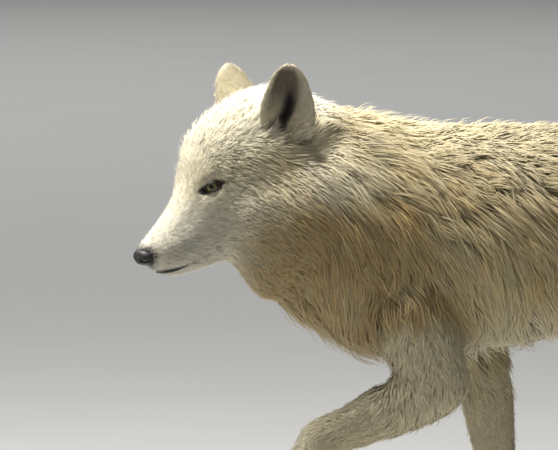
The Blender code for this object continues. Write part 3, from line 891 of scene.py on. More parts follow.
@dataclass
class Grower:
    """Grows tufts on one surface."""

    surface: Surface
    fields: Fields
    strays: float = 0.1
    cling: bool = True
    sink: float = 0.0012

    def __post_init__(self) -> None:
        """Prepares what every batch of tufts needs."""
        self.normals = self.surface.normals()
        self.areas = np.linalg.norm(self.surface.facing(), axis=1) / 2
        everywhere = np.arange(len(self.surface.places))
        self.near = finder(self.surface.places, everywhere) if self.cling else None

    def grow(self, wanted: Array, steps: int, seed: int, gather: float, crowding: float,
             waviness: float = 0.2) -> Tufts:
        """Grows the tufts of some triangles.

        Args:
            wanted: Whether each triangle is grown on.
            steps: The lengths of each tuft between its bends.
            seed: Of the random numbers.
            gather: How far the tips of a lock draw together, from 0 to 1.
            crowding: How many tufts stand on a square metre there, which sets how many locks there are.
            waviness: How much the locks lean, curl and stand apart from each other.

        Returns:
            The tufts.
        """
        random = np.random.default_rng(seed)
        corners = self.surface.triangles[wanted]
        mean = self.areas[wanted] * PER_CM2 * self.fields.density[corners].mean(axis=1)
        count = np.floor(mean + random.random(len(mean))).astype(int)
        corners = np.repeat(corners, count, axis=0)
        total = len(corners)
        a, b = np.sqrt(random.random(total)), random.random(total)
        shares = np.stack([1 - a, a * (1 - b), a * b], axis=1)
        read = {name: blend(getattr(self.fields, name), corners, shares)
                for name in ("way", "length", "width", "height", "lock", "unwrap", *Fields.MARKS)}
        roots = blend(self.surface.places, corners, shares)
        facing = unit(blend(self.normals, corners, shares))
        way = tangent(read["way"], facing)
        leader = self.leaders(roots, read["lock"], crowding, random)
        lean = random.normal(0.0, waviness, total)
        lean = 0.45 * lean + 0.8 * lean[leader]
        length = read["length"] * random.uniform(0.55, 1.15, total)
        length *= 0.8 + 0.4 * random.random(total)[leader]
        height = read["height"] * (0.45 + 0.75 * random.random(total))
        height *= 1 + 3.5 * waviness * (random.random(total)[leader] - 0.5)
        stray = random.random(total) < self.strays
        height = np.where(stray, height * 1.5 + 0.0012, height)
        way = turned(way, facing, lean)
        curl = random.normal(0.0, waviness * 2.6, total)
        curl = 0.5 * curl + 0.8 * curl[leader]
        paths, faces = self.paths(roots, facing, way, length, height, curl, steps)
        share = (np.arange(steps + 1) / steps) ** 1.3 * gather
        pull = np.where(stray, 0.25, 0.65 + 0.35 * random.random(total))
        paths = paths + (paths[leader] - paths) * share[None, :, None] * pull[:, None, None]
        marks = {name: read[name] for name in Fields.MARKS}
        marks["root"] = roots
        marks["shade"] = 0.5 * random.random(total) + 0.5 * random.random(total)[leader]
        width = read["width"] * random.uniform(0.75, 1.25, total)
        return Tufts(paths, faces, width, marks, read["unwrap"])

    def leaders(self, roots: Array, lock: Array, crowding: float, random: np.random.Generator) -> Array:
        """For each root, the root that leads its lock.

        Args:
            roots: The roots' places.
            lock: The radius of a lock at each.
            crowding: How many tufts stand on a square metre.
            random: The random numbers.

        Returns:
            The number of each root's leader.
        """
        radius = np.median(lock)
        wanted = max(8, int(len(roots) / crowding / (math.pi * radius * radius)))
        tree = finder(roots, np.sort(random.permutation(len(roots))[:wanted]))
        return np.array([tree.find(place)[1] for place in roots.tolist()])

    def paths(self, roots: Array, facing: Array, way: Array, length: Array,
              height: Array, curl: Array, steps: int) -> tuple[Array, Array]:
        """The bends of each tuft, laid along the surface.

        Args:
            roots: Where they start.
            facing: The way out there.
            way: The way that they lie.
            length: How long each is.
            height: How far each tip stands off.
            curl: How much each bends to the side, in radians.
            steps: How many lengths each has.

        Returns:
            The paths, and the way out of the surface at each bend.
        """
        paths, out = [roots - facing * self.sink], [facing]
        here, outs = roots, facing
        for step in range(1, steps + 1):
            here = here + way * (length / steps)[:, None]
            stand = height * math.sin(min(1.0, step / steps * 1.15) * math.pi / 2) ** 0.9
            if self.cling:
                near = np.array([self.near.find(place)[1] for place in here.tolist()])
                found = self.normals[near]
                share = np.clip(dots(found, outs) * 2 - 0.2, 0, 1)
                outs = unit(outs + (found - outs) * share)
                here = here - outs * dots(here - self.surface.places[near], outs) * share
                way = tangent(0.55 * way + 0.45 * tangent(self.fields.way[near], outs), outs)
            way = turned(way, outs, curl / steps)
            paths.append(here + outs * stand[:, None])
            out.append(outs)
        return np.stack(paths, axis=1), np.stack(out, axis=1)


@dataclass
class TuftMesh:
    """Turns tufts into one mesh of closed three-sided spikes."""

    ridge: float = 0.42
    patch: float = 0.003
    rounding: float = 0.55

    def build(self, name: str, tufts: Tufts, finish: Material) -> None:
        """Makes the piece.

        Args:
            name: The piece's name.
            tufts: The tufts that it holds.
            finish: The coat's material.
        """
        paths = tufts.paths
        count, levels = paths.shape[:2]
        steps = levels - 1
        run = np.gradient(paths, axis=1)
        across = unit(np.cross(run, tufts.facing))
        top = unit(np.cross(across, run))
        inner = slice(1, steps) if steps > 1 else slice(0, 1)
        spots = np.arange(levels)[inner] / steps
        profile = np.interp(spots, (0.0, 0.34, 0.5, 0.67, 1.0), (0.9, 1.0, 0.95, 0.72, 0.0))
        half = (tufts.width[:, None] * profile[None])[..., None] / 2
        here, aside, top_here = paths[:, inner], across[:, inner], top[:, inner]
        rings = np.stack([here - aside * half, here + aside * half,
                          here + top_here * half * 2 * self.ridge], axis=2)
        rings = rings.reshape(count, len(spots) * 3, 3)
        ends = [0, levels - 1] if steps > 1 else [levels - 1]
        places = np.concatenate([rings, paths[:, ends]], axis=1)
        tilt = aside * 0.75
        normals = np.stack([top_here - tilt, top_here + tilt, top_here * 1.2], axis=2)
        normals = unit(normals.reshape(count, len(spots) * 3, 3))
        normals = np.concatenate([normals, top[:, ends]], axis=1)
        skin_way = np.concatenate([np.repeat(tufts.facing[:, inner], 3, axis=1),
                                   tufts.facing[:, ends]], axis=1)
        normals = unit((1 - self.rounding) * normals + self.rounding * skin_way)
        faces = self.faces(steps)
        shading = normals[:, faces]
        beneath = ~((faces < len(spots) * 3) & (faces % 3 == 2)).any(axis=1)
        shading[:, beneath] = -top[:, -1][:, None, None, :]
        size = places.shape[1]
        triangles = (faces[None] + (np.arange(count) * size)[:, None, None]).reshape(-1, 3)
        mesh = bpy.data.meshes.new(name)
        mesh.vertices.add(count * size)
        mesh.vertices.foreach_set("co", places.astype(np.float32).ravel())
        mesh.loops.add(len(triangles) * 3)
        mesh.loops.foreach_set("vertex_index", triangles.astype(np.int32).ravel())
        mesh.polygons.add(len(triangles))
        mesh.polygons.foreach_set("loop_start", np.arange(0, len(triangles) * 3, 3, dtype=np.int32))
        along = np.append(np.repeat(spots, 3), np.array(ends) / steps)
        store(mesh, "along", np.tile(along, count))
        for mark, values in tufts.marks.items():
            store(mesh, mark, np.repeat(values, size, axis=0))
        aside = np.concatenate([np.tile((-0.5, 0.5, 0.0), len(spots)), np.zeros(len(ends))])
        patch = np.stack([aside, along], axis=1) * self.patch
        low, high = tufts.unwrap.min(axis=0), tufts.unwrap.max(axis=0)
        spread = 0.01 + 0.97 * (tufts.unwrap - low) / np.maximum(high - low, 1e-9)
        set_map(mesh, (spread[:, None] + patch[None]).reshape(-1, 2)[triangles.ravel()])
        mesh.update()
        mesh.validate()
        mesh.shade_smooth()
        mesh.normals_split_custom_set(shading.reshape(-1, 3).astype(np.float32).tolist())
        piece_of(name, mesh, finish, Slot.COAT)

    def faces(self, steps: int) -> Array:
        """The triangles of one tuft.

        Args:
            steps: Its lengths between bends.

        Returns:
            The places of each triangle's corners, by number.
        """
        if steps == 1:
            return np.array([(0, 1, 2), (0, 3, 1), (1, 3, 2), (2, 3, 0)])
        root = (steps - 1) * 3
        found = [(root, i, (i + 1) % 3) for i in range(3)]
        for level in range(steps - 2):
            for i in range(3):
                a, b = level * 3 + i, level * 3 + (i + 1) % 3
                found += [(a, b + 3, b), (a, a + 3, b + 3)]
        last = (steps - 2) * 3
        found += [(last + i, root + 1, last + (i + 1) % 3) for i in range(3)]
        return np.array(found)


# ---- the skin


@dataclass
class Skin:
    """One skin over head, neck, trunk, legs and tail."""

    voxel: float = 0.0045
    joining: float = 0.0007
    body_rounds: int = 46
    head_rounds: int = 10
    leg_rounds: int = 9
    paw_rounds: int = 4
    thinnest_share: float = 0.5
    most_room: float = 0.25
    skull_half: float = 0.086
    skull_rise: float = 0.112
    skull_widest: float = -0.027
    skull_power: float = 2.3

    def build(self) -> Surface:
        """Joins the solids of flesh, smooths them and sinks them under the coat.

        Returns:
            The skin as arrays.
        """
        self.surface = skin = self.outer()
        self.labels = self.label()
        skin.places = self.smoothed()
        normals = skin.normals()
        depth = self.depth(normals)
        for _ in range(3):
            normals = skin.eased(normals, 3)
        skin.places = skin.places - unit(normals) * depth[:, None]
        skin.places = skin.eased(skin.places, 3)
        return skin

    def outer(self) -> Surface:
        """The outline of the whole coat in one closed mesh.

        Returns:
            The outline.
        """
        solids = []
        for node in (*FLESH, "eye_left", "eye_right", "nose"):
            here, sides = corners_of(node)
            if node == "head":
                here = self.without_ears(here)
            here = here + Surface(here, sides).normals() * self.joining
            solids.append((here, sides))
        solids += [Ear(side).mound() for side in Side]
        for leg in LEGS:
            solids += Paw(leg).toes()
        places, faces = joined(solids)
        mesh = bpy.data.meshes.new("outline")
        mesh.from_pydata(places.tolist(), [], faces)
        holder = linked("outline", mesh)
        remesh = holder.modifiers.new("remesh", "REMESH")
        remesh.mode = "VOXEL"
        remesh.voxel_size = self.voxel
        made = holder.evaluated_get(bpy.context.evaluated_depsgraph_get()).to_mesh()
        found = listed(made.vertices, "co", 3)
        sides = [tuple(face.vertices) for face in made.polygons]
        bpy.data.objects.remove(holder)
        bpy.data.meshes.remove(mesh)
        return self.largest(found, sides)

    def without_ears(self, places: Array) -> Array:
        """The head with the feet of the ears pressed down onto the skull.

        Args:
            places: The head's places.

        Returns:
            The places, moved.
        """
        local = HEAD.local(places)
        lifted = local[:, 2] - self.skull_widest
        around = (np.abs(local[:, 1] / self.skull_half) ** self.skull_power
                  + np.abs(np.maximum(lifted, 0) / self.skull_rise) ** self.skull_power)
        press = (around > 1.0) & (local[:, 0] < -0.045) & (lifted > 0.01)
        shrink = np.where(press, np.maximum(around, 1.0) ** (-1 / self.skull_power), 1.0)
        local[:, 1] *= shrink
        local[:, 2] = self.skull_widest + lifted * shrink
        return HEAD.world(local)

    def largest(self, places: Array, faces: list) -> Surface:
        """The largest closed shell of a mesh, without any sealed hollow.

        Args:
            places: The mesh's places.
            faces: Its faces of four corners.

        Returns:
            The shell.
        """
        corners = np.array(faces)
        group, before = np.arange(len(places)), np.zeros(len(places))
        while (group != before).any():
            before = group.copy()
            np.minimum.at(group, corners, group[corners].min(axis=1)[:, None])
            group = group[group]
        names, counts = np.unique(group, return_counts=True)
        keep = group == names[counts.argmax()]
        kept = (np.cumsum(keep) - 1)[corners[keep[corners[:, 0]]]]
        return Surface(places[keep], kept.tolist())

    def label(self) -> Array:
        """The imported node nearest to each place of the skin, as its number in FLESH.

        Returns:
            The numbers.
        """
        solids = [corners_of(node) for node in FLESH]
        places, faces = joined(solids)
        owners = np.repeat(np.arange(len(FLESH)), [len(sides) for _, sides in solids])
        tree = BVHTree.FromPolygons(places.tolist(), faces)
        return np.array([owners[tree.find_nearest(place)[2]] for place in self.surface.places.tolist()])

    def part(self, *nodes: str) -> Array:
        """Whether each place belongs to one of the nodes."""
        return belongs(self.labels, nodes)

    def smoothed(self) -> Array:
        """The outline with its facets worn away: most on the trunk, least on head and legs.

        Returns:
            Its places.
        """
        skin = self.surface
        rounds = np.full(len(skin.places), float(self.leg_rounds))
        rounds[self.part(*BARREL)] = self.body_rounds
        rounds[self.part("head", "jaw")] = self.head_rounds
        rounds[self.part(*(leg_nodes(leg)[2] for leg in LEGS))] = self.paw_rounds
        face = HEAD.local(skin.places)[:, 0] > 0.03
        rounds[self.part("head", "jaw") & face] = self.head_rounds * 0.6
        rounds = skin.eased(rounds, 8)
        most = int(rounds.max())
        smooth = skin.eased(skin.places, most, keep=rounds)
        return smooth + 0.35 * (smooth - skin.eased(smooth, most // 2, keep=rounds / 2))

    def depth(self, normals: Array) -> Array:
        """How far the skin lies under the outline.

        Args:
            normals: The way out at each place.

        Returns:
            The depth at each place.
        """
        skin = self.surface
        depth = fur_values("depth", self.labels) * MILLIMETRE
        ahead, _, above = HEAD.local(skin.places).T
        head = self.part("head")
        back = rise(ahead, 0.03, -0.14)
        low = rise(above, 0.03, -0.04)
        sunk = (1.8 + 5.2 * back + 13.0 * back * low) * MILLIMETRE
        depth[head] = sunk[head]
        depth *= 1 - 0.22 * self.part(*BARREL) * rise(normals[:, 2], 0.25, 0.85)
        tree = skin.tree()
        starts = skin.places - normals * 0.0006
        hits = [tree.ray_cast(place, way, self.most_room)[3]
                for place, way in zip(starts.tolist(), (-normals).tolist())]
        room = skin.eased(np.array([2 * self.most_room if hit is None else hit for hit in hits]), 6)
        depth = np.minimum(depth, room / 2 * self.thinnest_share)
        return skin.eased(depth, 24)


@dataclass
class Coat:
    """The fields of the whole coat over the skin, and its tufts."""

    skin: Skin
    surface: Surface

    def __post_init__(self) -> None:
        """Reads where each place lies, in the model and along the head, and the fur of its node."""
        self.places = self.surface.places
        self.normals = self.surface.normals()
        self.local = HEAD.local(self.places)
        self.trunk = self.share(20, *BARREL)
        self.values = {key: fur_values(key, self.skin.labels) for key in (
            "length", "width", "height", "density", "lock", "warm", "smoke", "pale")}

    def fields(self) -> Fields:
        """Works out the coat's fields.

        Returns:
            The fields.
        """
        values = self.values
        self.fit_head()
        for key in values:
            values[key] = self.surface.eased(values[key], 14)
        for key in ("length", "width", "height", "lock"):
            values[key] *= MILLIMETRE
        values["dusk"] = np.zeros(len(self.places))
        values["bare"] = np.zeros(len(self.places))
        self.mark()
        self.clear()
        return Fields(way=self.ways(), unwrap=self.unwrap(), **values)

    def share(self, rounds: int, *nodes: str) -> Array:
        """How far each place belongs to some nodes, from 0 to 1, eased across their edges."""
        return self.surface.eased(self.skin.part(*nodes).astype(float), rounds)

    def at_least(self, key: str, level: Array) -> None:
        """Raises a field to a level wherever it lies below."""
        self.values[key] = np.maximum(self.values[key], level)

    def more(self, key: str, extra: Array, most: float = 1.0) -> None:
        """Adds to a field, kept between 0 and a most."""
        self.values[key] = np.clip(self.values[key] + extra, 0, most)

    def shorter(self, factor: Array) -> None:
        """Shortens and lowers the fur by a factor."""
        self.values["length"] *= factor
        self.values["height"] *= factor

    def fit_head(self) -> None:
        """Sets the fur of the head: shortest on the muzzle, longest where the ruff starts."""
        ahead, _, above = self.local.T
        back = rise(ahead, 0.05, -0.15)
        low = rise(above, 0.045, -0.05)
        ruff = rise(ahead, -0.015, -0.12) * low
        jowl = rise(ahead, 0.03, -0.055) * rise(above, -0.015, -0.06)
        crown = rise(above, 0.02, 0.06)
        brow = rise(above, -0.01, 0.03) * rise(ahead, 0.035, 0.005)
        temple = back * rise(above, 0.05, 0.015) * rise(above, -0.075, -0.02)
        plan = {
            "length": 8.5 + 13.0 * back + 28.0 * ruff + 2.0 * crown,
            "width": 0.95 + 0.1 * back + 0.3 * ruff,
            "height": 2.7 + 1.5 * back + 8.0 * ruff + 2.8 * crown + 2.8 * brow,
            "density": 62.0 - 8.0 * back - 24.0 * ruff,
            "lock": 2.4 + 1.0 * back + 3.5 * ruff,
            "warm": 0.05 + 0.55 * temple + 0.85 * np.maximum(ruff, jowl),
            "smoke": 0.26 - 0.16 * back,
            "pale": 0.5 + 0.3 * rise(above, 0.0, -0.03) * (1 - back) - 0.5 * temple,
        }
        for key, planned in plan.items():
            places = self.skin.part("head", *(("jaw",) if key in Fields.MARKS else ()))
            self.values[key][places] = planned[places]

    def mark(self) -> None:
        """Lays dark back tips, tan sides, tan throat with painted shade, and paler mane, belly and legs.
        """
        values, trunk = self.values, self.trunk
        x, y, z = self.places.T
        ahead, _, above = self.local.T
        steep = self.normals[:, 2]
        upward = rise(steep, 0.25, 0.85)
        saddle = rise(x, -0.36, -0.12) * rise(steep, 0.05, 0.7) * trunk
        saddle *= 1 - 0.45 * rise(x, -0.02, 0.2)
        self.at_least("smoke", 0.44 * saddle)
        self.at_least("smoke", 0.12 * upward * trunk)
        self.at_least("dusk", 0.26 * saddle)
        values["warm"] *= 1 - 0.55 * rise(steep, 0.3, 0.85) * trunk
        mane = rise(ahead, -0.215, -0.13) * rise(above, -0.1, -0.035)
        face = rise(ahead, -0.105, -0.065)
        values["warm"] *= 1 - mane * (0.72 - 0.52 * face)
        self.more("pale", 0.3 * mane * (1 - face))
        throat = rise(above, -0.04, -0.085) * rise(ahead, 0.02, -0.045)
        throat *= rise(ahead, -0.23, -0.15) * rise(above, -0.3, -0.2)
        throat *= self.share(20, "head", "jaw", "neck", "chest")
        self.more("warm", 0.6 * throat, 1.1)
        values["pale"] *= 1 - 0.8 * throat
        # painted shade: the throat under the jaw is darkened towards dark brown
        self.at_least("dusk", 0.14 * throat)
        self.shorter(1 - 0.42 * upward * trunk * rise(x, -0.4, -0.28))
        far_side = rise(y, 0.005, 0.04) * trunk
        values["density"] *= 1 - 0.34 * far_side
        values["width"] *= 1 + 0.25 * far_side
        under = rise(steep, -0.2, -0.85) * trunk * rise(x, -0.38, -0.22)
        values["warm"] *= 1 - 0.75 * under
        self.more("pale", 0.35 * under)
        self.at_least("smoke", 0.34 * self.share(8, *TAIL_NODES) * rise(z, 0.36, 0.28))

    def clear(self) -> None:
        """Clears the fur round eyes, nose and mouth, under ears and paws; painted shade under the ears."""
        places, density = self.places, self.values["density"]
        for side in Side:
            eye = EyeSet(side)
            brim = eye.slit_distance(places) - eye.brim(places)
            density *= rise(brim, -0.0004, 0.0006)
            self.at_least("bare", 1 - rise(brim, 0.0, 0.0016))
            self.shorter(0.4 + 0.6 * rise(brim, 0.0, 0.012))
        pad = Nose().gap(places)
        density *= rise(pad, 0.0, 0.0015)
        self.at_least("bare", 1 - rise(pad, 0.0005, 0.003))
        mouth = Mouth().gap(places)
        wide = np.interp(self.local[:, 0], (0.045, 0.066, 0.088), (0.0, 0.22, 1.0))
        density *= rise(mouth, 0.0014 * wide, 0.003 * wide)
        self.at_least("bare", 0.95 * (1 - rise(mouth, 0.0004, 0.0042 * wide + 0.0006)))
        self.shorter(1 - 0.4 * wide * (1 - rise(mouth, 0.002, 0.012)))
        for side in Side:
            uncovered = Ear(side).uncovered(places)
            density *= uncovered
            # painted shade: the scalp under the ear, left without fur, is painted near black
            self.at_least("bare", 0.9 * (1 - uncovered))
        soles = self.skin.part("forepaw_right", "hindpaw_left", "hindpaw_right")
        density[soles & (self.normals[:, 2] < -0.8) & (places[:, 2] < 0.012)] = 0.0

    def ways(self) -> Array:
        """The lie of the coat at every place.

        Returns:
            A direction for each place.
        """
        skin = self.skin
        way = fur_values("way", skin.labels)
        trunk, head = skin.part(*BARREL), skin.part("head", "jaw")
        way[trunk] = self.trunk_ways()[trunk]
        for leg in LEGS:
            top, shank, foot = leg_nodes(leg)
            knee, ankle = joint_of(top, shank), joint_of(shank, foot)
            if leg.startswith("fore"):
                way[skin.part(top)] = unit(knee - hip_of(leg)) * 0.8 + np.array((0.45, 0, -0.25))
            way[skin.part(shank)] = unit(ankle - knee)
            way[skin.part(foot)] = unit(np.mean(Paw(leg).claws, axis=0) - ankle)
        root, tip = joint_of("tail_root", "loin")[2], joint_of("tail_root", "tail_tip")[2]
        drop = rise(self.places[skin.part("tail_root"), 2], root - 0.01, root - 0.08)[:, None]
        way[skin.part("tail_root")] = unit((1 - drop) * np.array((0.8, 0, -0.45)) + drop * -UP)
        way[skin.part("tail_tip")] = unit(np.array((-0.01, 0.0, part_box("tail_tip")[0][2] - tip)))
        way[head] = self.head_ways()[head]
        return tangent(self.surface.eased(way, 18), self.normals)

    def trunk_ways(self) -> Array:
        """The lie on neck and trunk: back along the top, falling more below, in slow waves.

        Returns:
            A direction for each place, right only there.
        """
        x, y, z = self.places.T
        fore = np.interp(z, (0.42, 0.5, 0.57, 0.62, 0.66, 0.7, 0.735),
                         (80.0, 74.0, 65.0, 51.0, 37.0, 21.0, 8.0))
        rear = np.interp(z, (0.4, 0.48, 0.55, 0.62, 0.69), (36.0, 42.0, 34.0, 20.0, 6.0))
        share = rise(x, 0.0, 0.22)
        slow = np.sin(x * 61.0 + np.sin(z * 47.0) * 1.3 + y * 9.0)
        quick = np.sin(x * 118.0 - z * 93.0 + 2.0 * np.sin(z * 31.0 + x * 17.0))
        drop = np.radians(fore * (1 - share) + rear * share + (13.0 * slow + 11.0 * quick))
        return np.stack([np.cos(drop), np.zeros(len(x)), -np.sin(drop)], axis=1)

    def head_ways(self) -> Array:
        """The lie of the fur on the head: back from the nose, and down the cheeks.

        Returns:
            A direction for each place, right only there.
        """
        ahead, aside, above = self.local.T
        away = unit(self.local - np.array((0.125, 0.0, -0.045)))
        cheek = rise(ahead, 0.03, -0.05) * rise(above, 0.075, 0.0)
        down = np.stack([np.zeros(len(aside)), 0.35 * np.sign(aside), -np.ones(len(aside))], axis=1)
        away = unit(away + down * (1.5 * cheek)[:, None]) @ HEAD.matrix
        for side in Side:
            ear = Ear(side)
            offset = self.places - ear.foot
            beside = rise(np.linalg.norm(offset, axis=1), 0.062, 0.036)
            beside *= rise(offset @ ear.open_way, 0.02, -0.005)
            away = unit(away + ear.tip_way * (1.6 * beside)[:, None])
        return away

    def unwrap(self) -> Array:
        """Each place's spot on an unwrap of the skin: round and along its part of the body.

        Returns:
            Rows of two.
        """
        spots = np.zeros((len(self.places), 2))
        for family in Unwrap.families():
            which = self.skin.part(*family.nodes)
            spots[which] = family.spots(self.places[which])
        return spots

    def grow(self, fields: Fields, finish: Material) -> None:
        """Grows every batch of tufts and makes its piece.

        Args:
            fields: The coat's numbers.
            finish: The coat's material.
        """
        grower = Grower(self.surface, fields)
        labels = self.skin.labels[self.surface.triangles[:, 0]]
        centres = self.places[self.surface.triangles].mean(axis=1)
        local = HEAD.local(centres)
        for number, batch in enumerate(BATCHES):
            wanted = belongs(labels, batch.nodes)
            wanted &= (local[:, 0] > batch.split) == batch.ahead
            wanted &= (centres[:, 0] >= batch.rear_of) & (centres[:, 0] < batch.fore_of)
            if batch.side is not None:
                wanted &= centres[:, 1] * batch.side.value > batch.middle * batch.side.value
            crowding = float(fields.density[self.surface.triangles[wanted]].mean() * PER_CM2)
            tufts = grower.grow(wanted, batch.steps, FIRST_SEED + number, batch.gather, crowding,
                                batch.waviness)
            TuftMesh().build(f"coat_{batch.name}", tufts, finish)


@dataclass(frozen=True)
class Batch:
    """A part of the coat that becomes one piece: by node, side, place along the head and place along X."""

    name: str
    nodes: tuple
    steps: int
    gather: float
    side: Side | None = None
    split: float = -math.inf
    ahead: bool = True
    middle: float = 0.0
    rear_of: float = -math.inf
    fore_of: float = math.inf
    waviness: float = 0.2


FACE_LINE = -0.005  # along the head; ahead of it each tuft is one straight length
SHOULDER_LINE = -0.125  # along X, where the coat of the left side is parted into two pieces
FIRST_SEED = 100  # of the random numbers of the first batch

BATCHES = (
    Batch("face", ("head", "jaw"), 1, 0.28, split=FACE_LINE, waviness=0.15),
    *(Batch(f"crown_{side.word}", ("head", "jaw"), 2, 0.16, side, FACE_LINE, False, -0.02, waviness=0.08)
      for side in Side),
    *(Batch(f"neck_{side.word}", ("neck",), 3, 0.4, side, waviness=0.15) for side in Side),
    Batch("shoulder_left", ("chest",), 3, 0.45, Side.LEFT, fore_of=SHOULDER_LINE, waviness=0.17),
    Batch("flank_left", ("chest",), 3, 0.45, Side.LEFT, rear_of=SHOULDER_LINE, waviness=0.17),
    Batch("chest_right", ("chest",), 2, 0.45, Side.RIGHT, waviness=0.17),
    Batch("loin", ("loin",), 2, 0.42, waviness=0.16),
    Batch("tail", TAIL_NODES, 3, 0.45),
    *(Batch(f"foreleg_{side.word}", leg_nodes(f"fore_{side.word}"), 2, 0.3, waviness=0.14)
      for side in Side),
    *(Batch(f"hind_leg_{side.word}", leg_nodes(f"hind_{side.word}"), 2, 0.35) for side in Side),
)


@dataclass(frozen=True)
class Unwrap:
    """A part of the body unrolled about its own line onto a tile of the square."""

    nodes: tuple
    start: Array
    end: Array
    tile: tuple

    @staticmethod
    def families() -> list["Unwrap"]:
        """The trunk, the tail and the four legs, each with its tile (left, bottom, width, height).

        Returns:
            The families.
        """
        nose, rump = middle("nose"), joint_of("tail_root", "loin")
        found = [Unwrap(TRUNK_NODES, nose - UP * 0.02, rump - UP * 0.06, (0.01, 0.42, 0.98, 0.56))]
        low = np.array((rump[0] + 0.08, middle("tail_tip")[1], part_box("tail_tip")[0][2]))
        found.append(Unwrap(TAIL_NODES, rump, low, (0.82, 0.02, 0.16, 0.36)))
        for number, leg in enumerate(LEGS):
            nodes = leg_nodes(leg)
            first, last = hip_of(leg), middle(nodes[2])
            found.append(Unwrap(nodes, first + (first - last) * 0.3, last + (last - first) * 0.3,
                                (0.02 + 0.2 * number, 0.02, 0.18, 0.36)))
        return found

    def spots(self, places: Array, angles: Array | None = None) -> Array:
        """Where places fall on the square.

        Args:
            places: The places.
            angles: Their angles round the line, where these are already known.

        Returns:
            Their spots, as rows of two.
        """
        length = np.linalg.norm(self.end - self.start)
        run = (self.end - self.start) / length
        along = (places - self.start) @ run / length
        angles = self.angles(places) if angles is None else angles
        left, bottom, width, height = self.tile
        across = (angles / TURN + 0.5) * 0.94 + 0.03
        return np.stack([left + width * across, bottom + height * np.clip(along, -0.05, 1.05)], axis=1)

    def angles(self, places: Array) -> Array:
        """The angle of each place round the line.

        Args:
            places: The places.

        Returns:
            Angles from -pi to pi; the seam is underneath or inside.
        """
        run = unit(self.end - self.start)
        offset = places - self.start
        offset = offset - dots(offset, run[None]) * run
        top = UP if abs(run[2]) < 0.8 else np.array((-1.0, 0.0, 0.0))
        top = unit(top - run * (run @ top))
        return np.arctan2(offset @ np.cross(run, top), offset @ top)


def unwrap_faces(mesh: Mesh, surface: Surface, skin: Skin) -> None:
    """Gives the skin's mesh its OFBake map, face by face, so that no face crosses a seam.

    Args:
        mesh: The mesh.
        surface: The skin as arrays.
        skin: What knows the node of each place.
    """
    loops = listed(mesh.loops, "vertex_index")
    starts = listed(mesh.polygons, "loop_start")
    owner = np.repeat(np.arange(len(starts)), listed(mesh.polygons, "loop_total"))
    labels = skin.labels[loops[starts]][owner]
    spots = np.zeros((len(loops), 2))
    for family in Unwrap.families():
        which = belongs(labels, family.nodes)
        here = family.angles(surface.places)[loops]
        first = here[starts][owner]
        here = first + (here - first + math.pi) % TURN - math.pi
        spots[which] = family.spots(surface.places[loops], here)[which]
    set_map(mesh, np.clip(spots, 0.0, 1.0))


# ---- eyes


